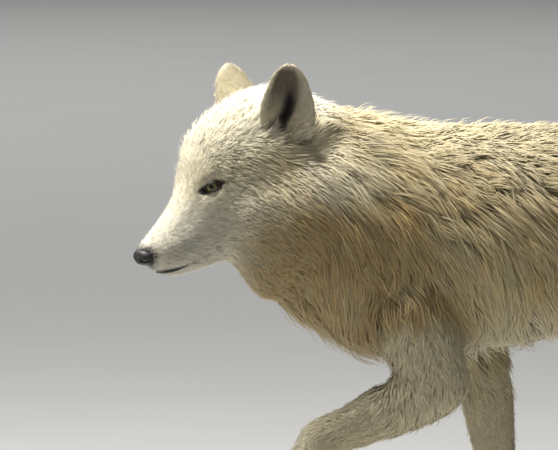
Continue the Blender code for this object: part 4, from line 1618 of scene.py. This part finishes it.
@dataclass
class EyeSet:
    """One eye: the ball, and the dark lids that open round it in an almond."""

    side: Side
    inner_reach: float = 0.0146
    outer_reach: float = 0.0139
    upper: float = 0.0043
    lower: float = 0.0048
    iris: float = 0.0072
    bulge: float = 0.0009
    lid_lift: float = 0.0011
    lid_wall: float = 0.0016
    lid_turns: int = 64
    levels: int = 40
    turns: int = 48

    def __post_init__(self) -> None:
        """Finds the ball's place and its own axes: out, along the slit towards the ear, and up."""
        low, high = (np.array(corner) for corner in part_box(f"eye_{self.side.word}"))
        self.centre = (low + high) / 2
        self.radius = float((high - low).max()) / 2
        left = -self.side.value
        self.out = HEAD.way(0.6, 0.79 * left, 0.09)
        slit = HEAD.way(-0.79, 0.69 * left, 0.09)
        self.slit = unit(slit - self.out * (slit @ self.out))
        up = unit(np.cross(self.slit, self.out))
        self.rise = up * np.sign(up @ HEAD.up)

    def edge(self, turn: Array) -> Array:
        """The almond's edge.

        Args:
            turn: How far round it, from 0 to 1 from the outer corner.

        Returns:
            Rows of (along the slit, up).
        """
        x, y = np.cos(turn * TURN), np.sin(turn * TURN)
        along = np.where(x > 0, x * self.outer_reach, x * self.inner_reach)
        height = np.where(y > 0, self.upper, self.lower) * np.sign(y) * np.abs(y) ** 1.3
        height -= np.where(x < 0, 0.0024 * (x ** 2), 0.0)
        return np.stack([along, height], axis=1)

    def flat(self, offset: Array) -> tuple[Array, Array]:
        """Offsets from the ball's middle as (along the slit, up), and their angles round the almond."""
        flat = np.stack([offset @ self.slit, offset @ self.rise], axis=1)
        return flat, np.arctan2(flat[:, 1] / self.upper, flat[:, 0] / self.outer_reach)

    def slit_distance(self, places: Array) -> Array:
        """How far places lie outside the almond.

        Args:
            places: The places.

        Returns:
            The distances, below 0 inside the almond and large off the eye.
        """
        offset = places - self.centre
        flat, angle = self.flat(offset)
        edge = self.edge(angle / TURN % 1.0)
        gap = np.linalg.norm(flat, axis=1) - np.linalg.norm(edge, axis=1)
        return np.where(np.linalg.norm(offset, axis=1) < 0.035, gap, 0.05)

    def brim(self, places: Array) -> Array:
        """The width of the lids' dark brim: widest above and at the corners.

        Args:
            places: The places.

        Returns:
            The width beside each.
        """
        angle = self.flat(places - self.centre)[1]
        front = np.cos(angle) < 0
        corner = np.abs(np.cos(angle)) ** np.where(front, 2.2, 4.0)
        inner = np.where(front, 1.0, 0.45)
        return 0.001 + 0.0006 * np.maximum(0, np.sin(angle)) + 0.0048 * corner * inner

    def shell(self, flat: Array, gap: Array, level: Array) -> Array:
        """The level of the lids over the ball's middle.

        Args:
            flat: Places along the slit and up.
            gap: How far outside the almond each is.
            level: The level of the face there, which the lids run out into.

        Returns:
            The lids' level at each place.
        """
        reach = np.linalg.norm(flat, axis=1)
        on_ball = np.sqrt(np.maximum(0.0, self.radius ** 2 - reach ** 2)) * 0.96 + self.lid_lift
        share = np.maximum(rise(gap, 0.0008, 0.009),
                           rise(reach, self.radius * 0.88, self.radius * 1.25))
        return (1 - share) * on_ball + share * level

    def seat(self, places: Array) -> Array:
        """Lays the skin near the eye round the ball, just under the lids.

        Args:
            places: The skin's places.

        Returns:
            The places, those near the eye moved.
        """
        offset = places - self.centre
        near = (np.linalg.norm(offset, axis=1) < 0.03) & (offset @ self.out > -0.006)
        level = offset[near] @ self.out
        gap = self.slit_distance(places[near])
        under = self.shell(self.flat(offset[near])[0], gap, level)
        under -= 0.0014 * (1 - rise(gap, 0.0008, 0.003)) + 0.0045 * (1 - rise(gap, -0.0015, 0.0004))
        moved = places.copy()
        moved[near] += self.out * (under - level)[:, None]
        return moved

    def ball(self) -> tuple:
        """Shapes the ball with its cornea.

        Returns:
            Its places, its faces, and the ring and the ray of each place.
        """
        polar = math.pi * (np.arange(1, self.levels) / self.levels) ** 1.35
        turn = TURN * np.arange(self.turns) / self.turns
        reach = np.sin(polar) * self.radius
        ring = np.where(polar < math.pi / 2, reach / self.iris, 3.0)
        proud = self.bulge * np.maximum(0.0, 1 - (ring / 1.05) ** 2)
        across = np.cos(turn)[:, None] * self.slit + np.sin(turn)[:, None] * self.rise
        ahead = (np.cos(polar) * self.radius * 0.94 + proud)[:, None] * self.out
        shape, faces = rolled(self.centre + across[None] * reach[:, None, None] + ahead[:, None])
        rays = np.stack([np.tile(np.cos(turn) * 2.2, len(ring)), np.tile(np.sin(turn) * 2.2, len(ring)),
                         np.repeat(ring * 0.35, self.turns)], axis=1)
        rings = np.append(np.repeat(ring, self.turns), (0.0, 3.0))
        return shape, faces, rings, np.concatenate([rays, [(0, 0, 0), (0, 0, 1)]])

    def lids(self, face: BVHTree) -> Shape:
        """The lids: rings that start at the almond on the ball and flare out under the fur.

        Args:
            face: The skin, on which the lids end.

        Returns:
            Their shape.
        """
        edge = self.edge(np.arange(self.lid_turns) / self.lid_turns)
        away = unit(edge * np.array((0.55, 1.0)))
        plan = ((-0.0006, -0.001), (0.0, 0.0004), (0.0006, 0.0009), (0.0012, 0.0007),
                (0.0019, 0.0001), (0.0028, -0.001), (0.004, -0.0026))
        rings = []
        for grow, lift in plan:
            flat = edge + away * grow
            spots = self.centre + flat[:, [0]] * self.slit + flat[:, [1]] * self.rise
            hits = [landed(face, spot, self.out, 0.06) for spot in spots]
            found = np.array([0.0 if hit is None else (hit - self.centre) @ self.out for hit in hits])
            level = self.shell(flat, np.full(len(flat), grow), found) + lift
            rings.append(spots + level[:, None] * self.out)
        shell = np.array(rings)
        back = shell[::-1] - self.out * self.lid_wall
        return rolled(np.concatenate([shell, back]), looped=True)

    def build(self, face: BVHTree, wet: Material, hide: Material) -> None:
        """Makes the ball and the lids.

        Args:
            face: The skin.
            wet: The ball's material.
            hide: The lids' material.
        """
        name = self.side.word
        places, faces, rings, rays = self.ball()
        ball = piece_of(f"eyeball_{name}", (places, faces), wet, Slot.EYE, f"eye_{name}").data
        store(ball, "ring", rings)
        store(ball, "rays", rays)
        piece_of(f"eyelids_{name}", self.lids(face), hide, Slot.NOSE)


# ---- nose and mouth


@dataclass
class Nose:
    """The nose pad: a rounded block with a nostril and a side slit on each side and a groove."""

    radii: tuple = (0.0122, 0.0168, 0.0122)
    power: float = 2.5
    nostril_aside: float = 0.0086
    nostril_radius: float = 0.0043
    nostril_depth: float = 0.0075

    def __post_init__(self) -> None:
        """Finds the pad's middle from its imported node."""
        places = HEAD.local(corners_of("nose")[0])
        low, high = places.min(axis=0), places.max(axis=0)
        self.centre = np.array(((low[0] + high[0]) / 2 - 0.0008, 0.0, (low[2] + high[2]) / 2 - 0.002))

    def gap(self, places: Array) -> Array:
        """About how far places lie outside the pad."""
        local = (HEAD.local(places) - self.centre) / self.radii
        return ((np.abs(local) ** self.power).sum(axis=1) ** (1 / self.power) - 1) * self.radii[2]

    def build(self, hide: Material) -> None:
        """Makes the pad.

        Args:
            hide: Its material.
        """
        local, faces = oval(np.zeros(3), *np.eye(3), self.radii, self.power, 6)
        f, left, up = local.T
        front = rise(f, 0.0, 0.006)
        aside = np.abs(left)
        narrow = 1 - 0.26 * rise(up, -0.002, -0.013)
        left = left * narrow
        f = f - 0.0042 * rise(up, 0.0, -0.013) * front + 0.0012 * rise(up, 0.002, 0.01) * front
        up = up - 0.002 * (aside / self.radii[1]) ** 2 * rise(up, 0.0, 0.01)
        hole = np.hypot((aside - self.nostril_aside) / 1.0, (up + 0.001) / 0.92)
        pit = (1 - rise(hole, self.nostril_radius * 0.25, self.nostril_radius)) * front
        rim = np.exp(-((hole - self.nostril_radius * 1.25) / 0.0016) ** 2) * front
        slit_line = up + 0.003 + 0.3 * (aside - self.nostril_aside)
        slit = np.exp(-(slit_line / 0.0013) ** 2) * rise(aside, self.nostril_aside, 0.0125)
        slit *= rise(f, -0.011, -0.004)
        groove = np.exp(-(left / 0.0009) ** 2) * front * rise(up, 0.009, 0.002)
        f = f - self.nostril_depth * pit + 0.0007 * rim - 0.0016 * groove
        left = left - np.sign(left) * 0.0034 * slit
        places = HEAD.world(self.centre + np.stack([f, left, up], axis=1))
        piece_of("nose_pad", (places, outward(places, faces)), hide, Slot.NOSE, "nose")


@dataclass
class Mouth:
    """The closed mouth: a dark lip above and below a crease, from corner to corner."""

    front: float = 0.086
    corner: float = 0.006
    side_points: int = 26
    front_points: int = 17

    def level(self, forward: Array | float) -> Array:
        """The height of the crease along the head: a slow curve that turns up at the corner."""
        return np.interp(forward, (-0.004, 0.006, 0.026, 0.05, 0.08, 0.1, 0.118),
                         (-0.0665, -0.068, -0.0735, -0.079, -0.08, -0.076, -0.0745))

    def gap(self, places: Array) -> Array:
        """How far places on the face lie above or below the crease.

        Args:
            places: The places.

        Returns:
            The distances, large off the face.
        """
        ahead, aside, above = HEAD.local(places).T
        on_face = (ahead > self.corner - 0.004) & (ahead < 0.13) & (np.abs(aside) < 0.07)
        past = np.maximum(0.0, self.corner - ahead)
        return np.where(on_face, np.hypot(np.abs(above - self.level(ahead)), past * 1.5), 0.05)

    def route(self, face: BVHTree) -> tuple[Array, Array]:
        """The crease on the skin, from the left corner round the front to the right one.

        Args:
            face: The skin.

        Returns:
            Places along the head's axes, and the way out of the skin at each.
        """
        sides = np.linspace(self.corner, self.front, self.side_points)
        rays = [(forward, (0.0, 1.0)) for forward in sides]
        rays += [(self.front, (math.sin(turn), math.cos(turn)))
                 for turn in np.linspace(0, math.pi, self.front_points)[1:-1]]
        rays += [(forward, (0.0, -1.0)) for forward in sides[::-1]]
        found, ways = [], []
        for forward, (ahead, left) in rays:
            way = HEAD.way(ahead, left, 0.0)
            inside = HEAD.world((forward, 0.0, self.level(forward + 0.02 * ahead)))
            hit = landed(face, inside, way, 0.12)
            if hit is not None:
                found.append(HEAD.local(hit[None])[0])
                ways.append(HEAD.matrix @ way)
        return np.array(found), np.array(ways)

    def build(self, face: BVHTree, hide: Material) -> None:
        """Makes the band of the lips.

        Args:
            face: The skin.
            hide: Their material.
        """
        line, ways = self.route(face)
        for _ in range(4):
            line[1:-1] = (line[:-2] + 2 * line[1:-1] + line[2:]) / 4
            ways[1:-1] = unit((ways[:-2] + 2 * ways[1:-1] + ways[2:]) / 4)
        size = np.sin(np.pi * np.linspace(0, 1, len(line))) ** 0.35
        size *= np.interp(line[:, 0], (0.03, 0.062, 0.088), (0.05, 0.26, 0.95))
        plan = ((0.0042, -0.0012), (0.0032, 0.0003), (0.0016, 0.001), (0.0004, 0.0006), (0.0, -0.0012),
                (-0.0004, 0.0004), (-0.0016, 0.0007), (-0.003, 0.0001), (-0.0038, -0.0014), (0.0, -0.0035))
        rings = [[place + np.array((0, 0, up * scale)) + way * (proud * scale + 0.0003)
                  for up, proud in plan] for place, way, scale in zip(line, ways, size)]
        piece_of("lips", rolled(HEAD.world(rings)), hide, Slot.NOSE)


# ---- ears


@dataclass(frozen=True)
class EarStance:
    """Where an ear grows, which way it stands and which way it opens, along the head's axes."""

    foot: tuple
    tip: tuple
    opening: tuple


@dataclass
class Ear:
    """One upright ear: a cupped leaf, furred behind, with a fluffy front flap and a slit in painted shade.
    """

    side: Side
    length: float = 0.1
    half: float = 0.033
    wall: float = 0.0032
    levels: int = 40
    turns: int = 36
    arch: float = 0.74
    widths: tuple = (0.62, 0.8, 0.94, 1.0, 1.01, 0.98, 0.9, 0.79, 0.64, 0.45, 0.2)
    slit_levels: tuple = (0.03, 0.12, 0.19, 0.3, 0.41, 0.53, 0.68)
    slit_turns: tuple = (-0.88, -0.7, -0.5, -0.22, -0.02, 0.08, 0.12)
    slit_widths: tuple = (0.44, 0.4, 0.34, 0.26, 0.23, 0.21, 0.18)
    filling: tuple = (0.96, 0.9, 0.78, 0.55, 0.28, 0.0)
    crowding: float = 65e4
    seed: int = 40

    STANCES = {
        Side.LEFT: EarStance((-0.105, 0.067, 0.0285), (-0.028, 0.02, 0.083), (0.42, 0.9, 0.0)),
        Side.RIGHT: EarStance((-0.118, -0.061, 0.033), (-0.0105, -0.0235, 0.0875), (0.1, -0.99, 0.0)),
    }

    def __post_init__(self) -> None:
        """Sets the ear's foot and its own axes: to the tip, out of the opening, and to its rear edge."""
        stance = self.STANCES[self.side]
        self.foot = HEAD.world(stance.foot)
        self.tip_way = HEAD.way(*stance.tip)
        open_way = HEAD.way(*stance.opening)
        self.open_way = unit(open_way - self.tip_way * (open_way @ self.tip_way))
        self.rear = np.cross(self.tip_way, self.open_way) * -self.side.value
        self.ups = 1 - (1 - np.arange(self.levels + 1) / self.levels) ** 1.4
        self.across = np.linspace(-1, 1, self.turns + 1)

    def mound(self) -> Shape:
        """The swelling of the scalp that the ear rises from."""
        middle_place = self.foot + self.tip_way * 0.004 - self.open_way * 0.013
        return oval(middle_place, self.rear, self.tip_way, self.open_way, (0.039, 0.027, 0.021), 2.0)

    def uncovered(self, places: Array) -> Array:
        """Where the scalp keeps its own fur, which would fill the ear's cup.

        Args:
            places: The scalp's places.

        Returns:
            From 0 under the ear to 1 beside it.
        """
        offset = places - self.foot
        reach = np.hypot(offset @ self.rear / 0.024, (offset @ self.open_way + 0.004) / 0.014)
        return np.where(offset @ self.tip_way > -0.03, rise(reach, 0.85, 1.1), 1.0)

    def slit(self, t: Array | float, s: Array, spread: float = 1.0) -> Array:
        """The slit, a fold darkened by painted shade, which runs down and forward to the front edge.

        Args:
            t: Levels on the ear, from 0 at the foot to 1 at the tip.
            s: Turns across it, from -1 at the front edge to 1 at the rear edge.
            spread: How much wider than the slit the answer reaches.

        Returns:
            How deep in the slit each place is, from 0 to 1.
        """
        line = np.interp(t, self.slit_levels, self.slit_turns)
        fade = rise(t, 0.78, 0.52)
        width = spread * np.interp(t, self.slit_levels, self.slit_widths)
        return np.exp(-((s - line) / width) ** 2) * fade

    def sheet(self, inner: bool) -> Array:
        """One face of the ear.

        Args:
            inner: Whether it is the inner one.

        Returns:
            Its places as (level, turn, xyz).
        """
        rows, s = [], self.across
        for t in self.ups.tolist():
            half = self.half * np.interp(t * 10, range(11), self.widths)
            if t > self.arch:
                past = ((t - self.arch) / (1 - self.arch)) ** 1.3
                half = self.half * 0.72 * math.sqrt(max(0.0, 1 - past)) + 0.0003
            cup = 0.023 * (1 - t) ** 0.8 + 0.004
            centre = self.foot + self.tip_way * (self.length * t - 0.012)
            hollow = cup * (1 - s * s)
            tuck = cup * 0.5 * s * s * rise(t, 0.26, 0.0)
            here = (centre + self.rear * (half * s)[:, None]
                    - self.open_way * (hollow - cup * 0.5 + tuck)[:, None])
            out = unit(self.rear * (s * cup * 2)[:, None] - self.open_way * (half + 0.004))
            thick = self.wall * (0.42 + 0.58 * (1 - np.abs(s) ** 3)) * (1 - 0.35 * t)
            here = here + out * (-thick if inner else thick)[:, None]
            if inner:
                full = np.interp(t * 5, range(6), self.filling)
                ridge = 0.003 * np.exp(-((s + 0.45) / 0.3) ** 2) * full
                fill = full * hollow * (1 - self.slit(t, s)) + ridge
                here = here + self.open_way * fill[:, None]
            rows.append(here)
        return np.array(rows)

    def form(self) -> None:
        """Closes the ear, and notes the level and turn of each place and whether it is inside."""
        rings = np.concatenate([self.sheet(True), self.sheet(False)[:, ::-1]], axis=1)
        self.surface = Surface(*rolled(rings))
        s, inside = np.append(self.across, self.across[::-1]), np.repeat((1.0, 0.0), self.turns + 1)
        self.t = np.append(np.repeat(self.ups, len(s)), (0, 1))
        self.s = np.append(np.tile(s, len(self.ups)), (0, 0))
        self.inside = np.append(np.tile(inside, len(self.ups)), (0.5, 0.5))

    def fields(self) -> Fields:
        """The coat on the ear: short behind, a fringe on the edge, long and thin within.

        Returns:
            The fields.
        """
        t, s, inside = self.t, self.s, self.inside
        normals = self.surface.normals()
        edge = np.maximum(rise(np.abs(s), 0.76, 0.93), rise(t, 0.9, 0.97))
        within = inside * (1 - edge)
        outside = (1 - inside) * (1 - edge)
        slit = self.slit(t, s, 1.1) * inside
        beside = self.slit(t, s, 2.0) * inside
        before = (s < np.interp(t, self.slit_levels, self.slit_turns)) * 1.0
        away = self.tip_way + self.rear * (0.22 * s)[:, None]
        inward = (self.tip_way * 0.75 + self.rear * (0.75 * before - 0.45 + 0.9 * (1 - before))[:, None]
                  + self.open_way * 0.22)
        way = away * (1 - within)[:, None] + inward * within[:, None]
        rear_foot = rise(s, 0.05, 0.45)
        lobe = rise(t, 0.24, 0.06) * rear_foot * (1 - within)
        way = way * (1 - lobe)[:, None] + (self.rear * 0.55 - self.tip_way * 0.85) * lobe[:, None]
        tip = rise(t, 0.7, 1.0)
        low = rise(t, 0.45, 0.15)
        rim = rise(s, 0.34, 0.72)
        flap = 1 - 0.5 * rise(t, 0.58, 0.28) * before
        # inside the ear: partly its own darker hair, partly painted shade in the cup, most in the slit
        dark = 0.56 + 0.42 * rise(t, 0.4, 0.8) + 0.6 * slit
        # lighter at the rear foot, the rear rim and the front flap; at the rim partly painted light
        dark = dark * (1 - 0.75 * (rise(t, 0.5, 0.15) * rear_foot)) * (1 - 0.75 * rim) * flap
        values = {
            "length": (0.008 * outside + 0.006 * edge + within * (0.0075 + 0.0075 * low)
                       + 0.006 * lobe) * (1 - 0.45 * tip) * (1 - 0.62 * beside),
            "width": 0.0008 + 0.0002 * low,
            "height": (0.002 * outside + 0.0022 * edge + within * (0.0024 + 0.003 * low)
                       + 0.0015 * lobe) * (1 - 0.4 * tip) * (1 - 0.5 * beside),
            "density": (75 * outside + 130 * edge + 55 * within) * (1 - 0.95 * slit),
            "lock": np.full(len(t), 0.003),
            "warm": 0.3 * outside * rise(t, 0.55, 0.95) + 0.22 * edge + 0.12 * within,
            "smoke": 0.06 * edge + 0.16 * within,
            # the rim inside is paler: partly the ear's pale fringe, partly painted light
            "pale": 0.15 * outside + 0.5 * edge + (0.25 + 0.35 * rim) * within + 0.3 * lobe,
            "dusk": np.clip(within * dark, 0, 0.96),
            # near black in the slit: painted shade in the fold
            "bare": np.clip(slit * 1.25, 0, 1) * (1 - edge),
        }
        return Fields(way=tangent(way, normals), unwrap=self.unwrap(), **values)

    def unwrap(self) -> Array:
        """Each place on the ear's unwrap: the inner face on the left half, the outer on the right."""
        left = np.where(self.inside > 0.5, 0.02, 0.52)
        return np.stack([left + 0.46 * (self.s + 1) / 2, 0.02 + 0.96 * self.t], axis=1)

    def build(self, skin_finish: Material, coat_finish: Material) -> None:
        """Makes the ear's skin and its coat.

        Args:
            skin_finish: The skin's material.
            coat_finish: The coat's material.
        """
        self.form()
        name, surface, fields = self.side.word, self.surface, self.fields()
        mesh = piece_of(f"ear_skin_{name}", (surface.places, surface.faces), skin_finish, Slot.COAT,
                        f"ear_{name}").data
        furnish(mesh, fields, surface)
        set_map(mesh, fields.unwrap[listed(mesh.loops, "vertex_index")])
        grower = Grower(surface, fields, strays=0.02, cling=False, sink=0.0006)
        everywhere = np.ones(len(surface.triangles), bool)
        tufts = grower.grow(everywhere, 1, self.seed + self.side.value, 0.2, self.crowding)
        TuftMesh().build(f"coat_ear_{name}", tufts, coat_finish)


# read a third of the way up a hair, the skin takes part of the painted root shade
SKIN_MARKS = {"along": 0.34, "shade": 0.5}  # where on a hair, and on which hair, its colour is read


def furnish(mesh: Mesh, fields: Fields, surface: Surface) -> None:
    """Stores on a skin what its markings read.

    Args:
        mesh: The skin's mesh.
        fields: Its coat's numbers.
        surface: The skin as arrays.
    """
    for mark in Fields.MARKS:
        store(mesh, mark, getattr(fields, mark))
    for name, value in SKIN_MARKS.items():
        store(mesh, name, np.full(len(surface.places), value))
    store(mesh, "root", surface.places)


# ---- claws, pads and whiskers


@dataclass
class Paw:
    """The claws of one paw, and the toes and leathery pads behind them."""

    leg: str
    toe_radii: tuple = (0.018, 0.009, 0.013)
    toe_set: float = 0.0105
    toe_level: float = 0.0145
    pad_radii: tuple = (0.0085, 0.006, 0.0044)
    pad_set: float = 0.019
    pad_level: float = 0.0046
    heel_radii: tuple = (0.0125, 0.016, 0.0055)
    heel_set: float = 0.046

    def __post_init__(self) -> None:
        """Finds the claws and the paw's own axes: ahead, and out of the sole."""
        self.nodes = [f"claw_{self.leg}_{number}" for number in range(1, 5)]
        self.claws = [middle(node) for node in self.nodes]
        self.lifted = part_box(leg_nodes(self.leg)[2])[0][2] > 0.02
        self.ahead = np.array((-0.35, 0.0, -0.94) if self.lifted else (-1.0, 0.0, 0.0))
        self.down = np.array((0.94, 0.0, -0.35)) if self.lifted else -UP
        self.across = np.cross(self.ahead, self.down)

    def spot(self, claw: Array, back: float, below: float, level: float) -> Array:
        """A place behind a claw.

        Args:
            claw: The claw's middle.
            back: How far behind it.
            below: How far under it, on the lifted paw.
            level: How high over the floor, on the other paws.

        Returns:
            The place.
        """
        spot = claw - self.ahead * back + self.down * below
        if not self.lifted:
            spot[2] = level
        return spot

    def bulge(self, spot: Array, radii: tuple, power: float = 2.5) -> Shape:
        """An oval along the paw's own axes."""
        return oval(spot, self.ahead, self.across, self.down, radii, power)

    def toes(self) -> list[Shape]:
        """The bulge of each toe, round the root of its claw."""
        return [self.bulge(self.spot(claw, self.toe_set, 0.0025, self.toe_level), self.toe_radii, 2.2)
                for claw in self.claws]

    def horns(self, horn: Material) -> None:
        """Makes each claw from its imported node, rounded.

        Args:
            horn: The claws' material.
        """
        for node in self.nodes:
            piece = piece_of(node.replace("claw", "horn"), corners_of(node), horn, Slot.CLAW, node)
            rounder = piece.modifiers.new("round", "SUBSURF")
            rounder.levels = rounder.render_levels = 2

    def pads(self, hide: Material) -> None:
        """Makes a pad under each toe, and one broad pad behind them.

        Args:
            hide: The pads' material.
        """
        made = [self.bulge(self.spot(claw, self.pad_set, 0.0105, self.pad_level), self.pad_radii)
                for claw in self.claws]
        heel = self.spot(np.mean(self.claws, axis=0), self.heel_set, 0.0085, self.heel_radii[2] + 0.0002)
        made.append(self.bulge(heel, self.heel_radii))
        piece_of(f"pads_{self.leg}", joined(made), hide, Slot.NOSE)


@dataclass
class Whiskers:
    """The stiff hairs of the muzzle: rows on each side, swept back and out."""

    rows: int = 4
    row_length: int = 5
    length: float = 0.042
    thickness: float = 0.00042
    sag: float = 0.004
    steps: int = 6
    seed: int = 7

    def build(self, face: BVHTree, hide: Material) -> None:
        """Makes the whiskers as one piece.

        Args:
            face: The skin that they grow from.
            hide: Their material.
        """
        random = np.random.default_rng(self.seed)
        hairs = []
        for left in (1, -1):
            for row in range(self.rows):
                for number in range(self.row_length):
                    forward = 0.086 - 0.0075 * number + 0.002 * row
                    up = -0.05 - 0.0058 * row + 0.0008 * number
                    way = HEAD.way(0, left, 0)
                    root = landed(face, HEAD.world((forward, 0.0, up)), way, 0.1)
                    if root is None:
                        continue
                    bend = random.normal(0, 0.12, 3)
                    sweep = HEAD.way(-0.75 + bend[0], 0.8 * left + bend[1], -0.3 + bend[2])
                    hairs.append(self.hair(root, way, sweep, self.length * random.uniform(0.6, 1.1)))
        piece_of("whiskers", joined(hairs), hide, Slot.NOSE)

    def hair(self, root: Array, way: Array, sweep: Array, length: float) -> Shape:
        """One curved, tapering, three-sided hair.

        Args:
            root: Where it starts.
            way: The way out of the skin.
            sweep: The way that its tip turns to.
            length: Its length.

        Returns:
            The hair.
        """
        first = unit(way * 0.8 + sweep * 0.6)
        side = unit(np.cross(first, sweep))
        other = unit(np.cross(first, side))
        t = (np.arange(self.steps) / self.steps)[:, None]
        spine = root + (first * t * (1 - 0.5 * t) + sweep * t * t * 0.5) * length - UP * self.sag * t * t
        radius = self.thickness * (1 - 0.8 * t) / 2
        rings = [spine + (side * math.cos(turn) + other * math.sin(turn)) * radius
                 for turn in (0, TURN / 3, TURN * 2 / 3)]
        tip = root + (first * 0.5 + sweep * 0.5) * length - UP * self.sag
        places = np.concatenate([np.stack(rings, axis=1).reshape(-1, 3), tip[None]])
        around = ((0, 1), (1, 2), (2, 0))
        faces = [(0, 2, 1)]
        for low in range(0, len(places) - 4, 3):
            faces += [(low + i, low + j, low + 3 + j, low + 3 + i) for i, j in around]
        last = len(places) - 4
        return places, faces + [(last + i, last + j, last + 3) for i, j in around]


# ---- floor, light and camera


@dataclass(frozen=True)
class Lamp:
    """A soft square lamp, aimed at the head where it has no aim of its own."""

    name: str
    place: tuple
    size: float
    power: float
    colour: tuple = (1.0, 1.0, 1.0)
    aim: tuple | None = None


@dataclass
class Studio:
    """The floor, the light and the camera; the camera's aim is measured from mid-eye."""

    floor_half: float = 70.0
    sky: tuple = (0.3, 0.3, 0.3, 1.0)
    sky_strength: float = 0.3
    aim: tuple = (0.1055, 0.0374, -0.0539)
    distance: float = 7.0
    view_width: float = 0.71
    azimuth: float = -10.0
    elevation: float = 5.0
    lamps: tuple = (
        Lamp("key_from_above", (-1.35, 0.1, 3.5), 1.1, 265.0, (1.0, 0.988, 0.955)),
        Lamp("fill_from_the_side", (-1.6, -4.8, 2.4), 2.6, 17.0, (1.0, 0.985, 0.94)),
        Lamp("wash_over_the_floor", (-0.5, 12.0, 6.0), 14.0, 760.0, aim=(-0.5, 12.0, 0.0)),
    )

    def build(self) -> None:
        """Makes the floor, the lamps, the sky and the camera."""
        half = self.floor_half
        corners = [(-half, -half, 0), (half, -half, 0), (half, half, 0), (-half, half, 0)]
        mesh = bpy.data.meshes.new("floor")
        mesh.from_pydata(corners, [], [(0, 1, 2, 3)])
        mesh.materials.append(FloorFinish().material())
        linked("floor", mesh)
        for lamp in self.lamps:
            self.light(lamp)
        world = bpy.data.worlds.new("sky")
        world.use_nodes = True
        colour, strength = world.node_tree.nodes["Background"].inputs[:2]
        colour.default_value = self.sky
        strength.default_value = self.sky_strength
        bpy.context.scene.world = world
        bpy.context.scene.view_settings.view_transform = "Standard"
        self.camera()

    def light(self, lamp: Lamp) -> None:
        """Makes one lamp.

        Args:
            lamp: The lamp.
        """
        data = bpy.data.lights.new(lamp.name, "AREA")
        data.energy = lamp.power
        data.size = lamp.size
        data.color = lamp.colour
        made = linked(lamp.name, data)
        made.location = lamp.place
        target = Vector(lamp.aim or HEAD.origin + np.array((0.25, 0.0, -0.05)))
        made.rotation_euler = (target - made.location).to_track_quat("-Z", "Y").to_euler()

    def camera(self) -> None:
        """Makes the camera, aimed at the shoulder and head from the wolf's left."""
        data = bpy.data.cameras.new("camera")
        data.sensor_width = 36.0
        data.lens = data.sensor_width * self.distance / self.view_width
        data.clip_end = 100.0
        made = linked("camera", data)
        turn, lift = math.radians(self.azimuth), math.radians(self.elevation)
        back = Vector((math.sin(turn) * math.cos(lift), -math.cos(turn) * math.cos(lift), math.sin(lift)))
        target = Vector(HEAD.origin) + Vector(self.aim)
        made.location = target + back * self.distance
        made.rotation_euler = (-back).to_track_quat("-Z", "Y").to_euler()
        bpy.context.scene.camera = made


# ---- the whole wolf


def main() -> None:
    """Builds the wolf piece by piece."""
    logging.basicConfig(level=logging.INFO, format="%(name)s: %(message)s")
    Studio().build()
    markings = CoatColours().group()
    skin_finish = FurFinish("skin", markings, roughness=0.75, bump=0.8).material()
    coat_finish = FurFinish("fur", markings).material()
    hide = HideFinish("nose_hide", roughness=0.56, wet=0.08).material()
    lid_hide = HideFinish("lid_hide", (0.012, 0.01, 0.009, 1.0), roughness=0.56, depth=0.0002).material()
    pad_hide = HideFinish("pad_hide", (0.035, 0.029, 0.027, 1.0), roughness=0.6).material()
    horn, wet = HornFinish().material(), EyeFinish().material()
    skin = Skin()
    surface = skin.build()
    face = surface.tree()
    for side in Side:
        surface.places = EyeSet(side).seat(surface.places)
    coat = Coat(skin, surface)
    fields = coat.fields()
    mesh = piece_of("skin", (surface.places, surface.faces), skin_finish, Slot.COAT, *FLESH).data
    furnish(mesh, fields, surface)
    unwrap_faces(mesh, surface, skin)
    for side in Side:
        EyeSet(side).build(face, wet, lid_hide)
        Ear(side).build(skin_finish, coat_finish)
    Nose().build(hide)
    Mouth().build(face, lid_hide)
    Whiskers().build(face, lid_hide)
    for leg in LEGS:
        Paw(leg).horns(horn)
    for leg in LEGS:
        Paw(leg).pads(pad_hide)
    coat.grow(fields, coat_finish)


if __name__ == "__main__":
    main()
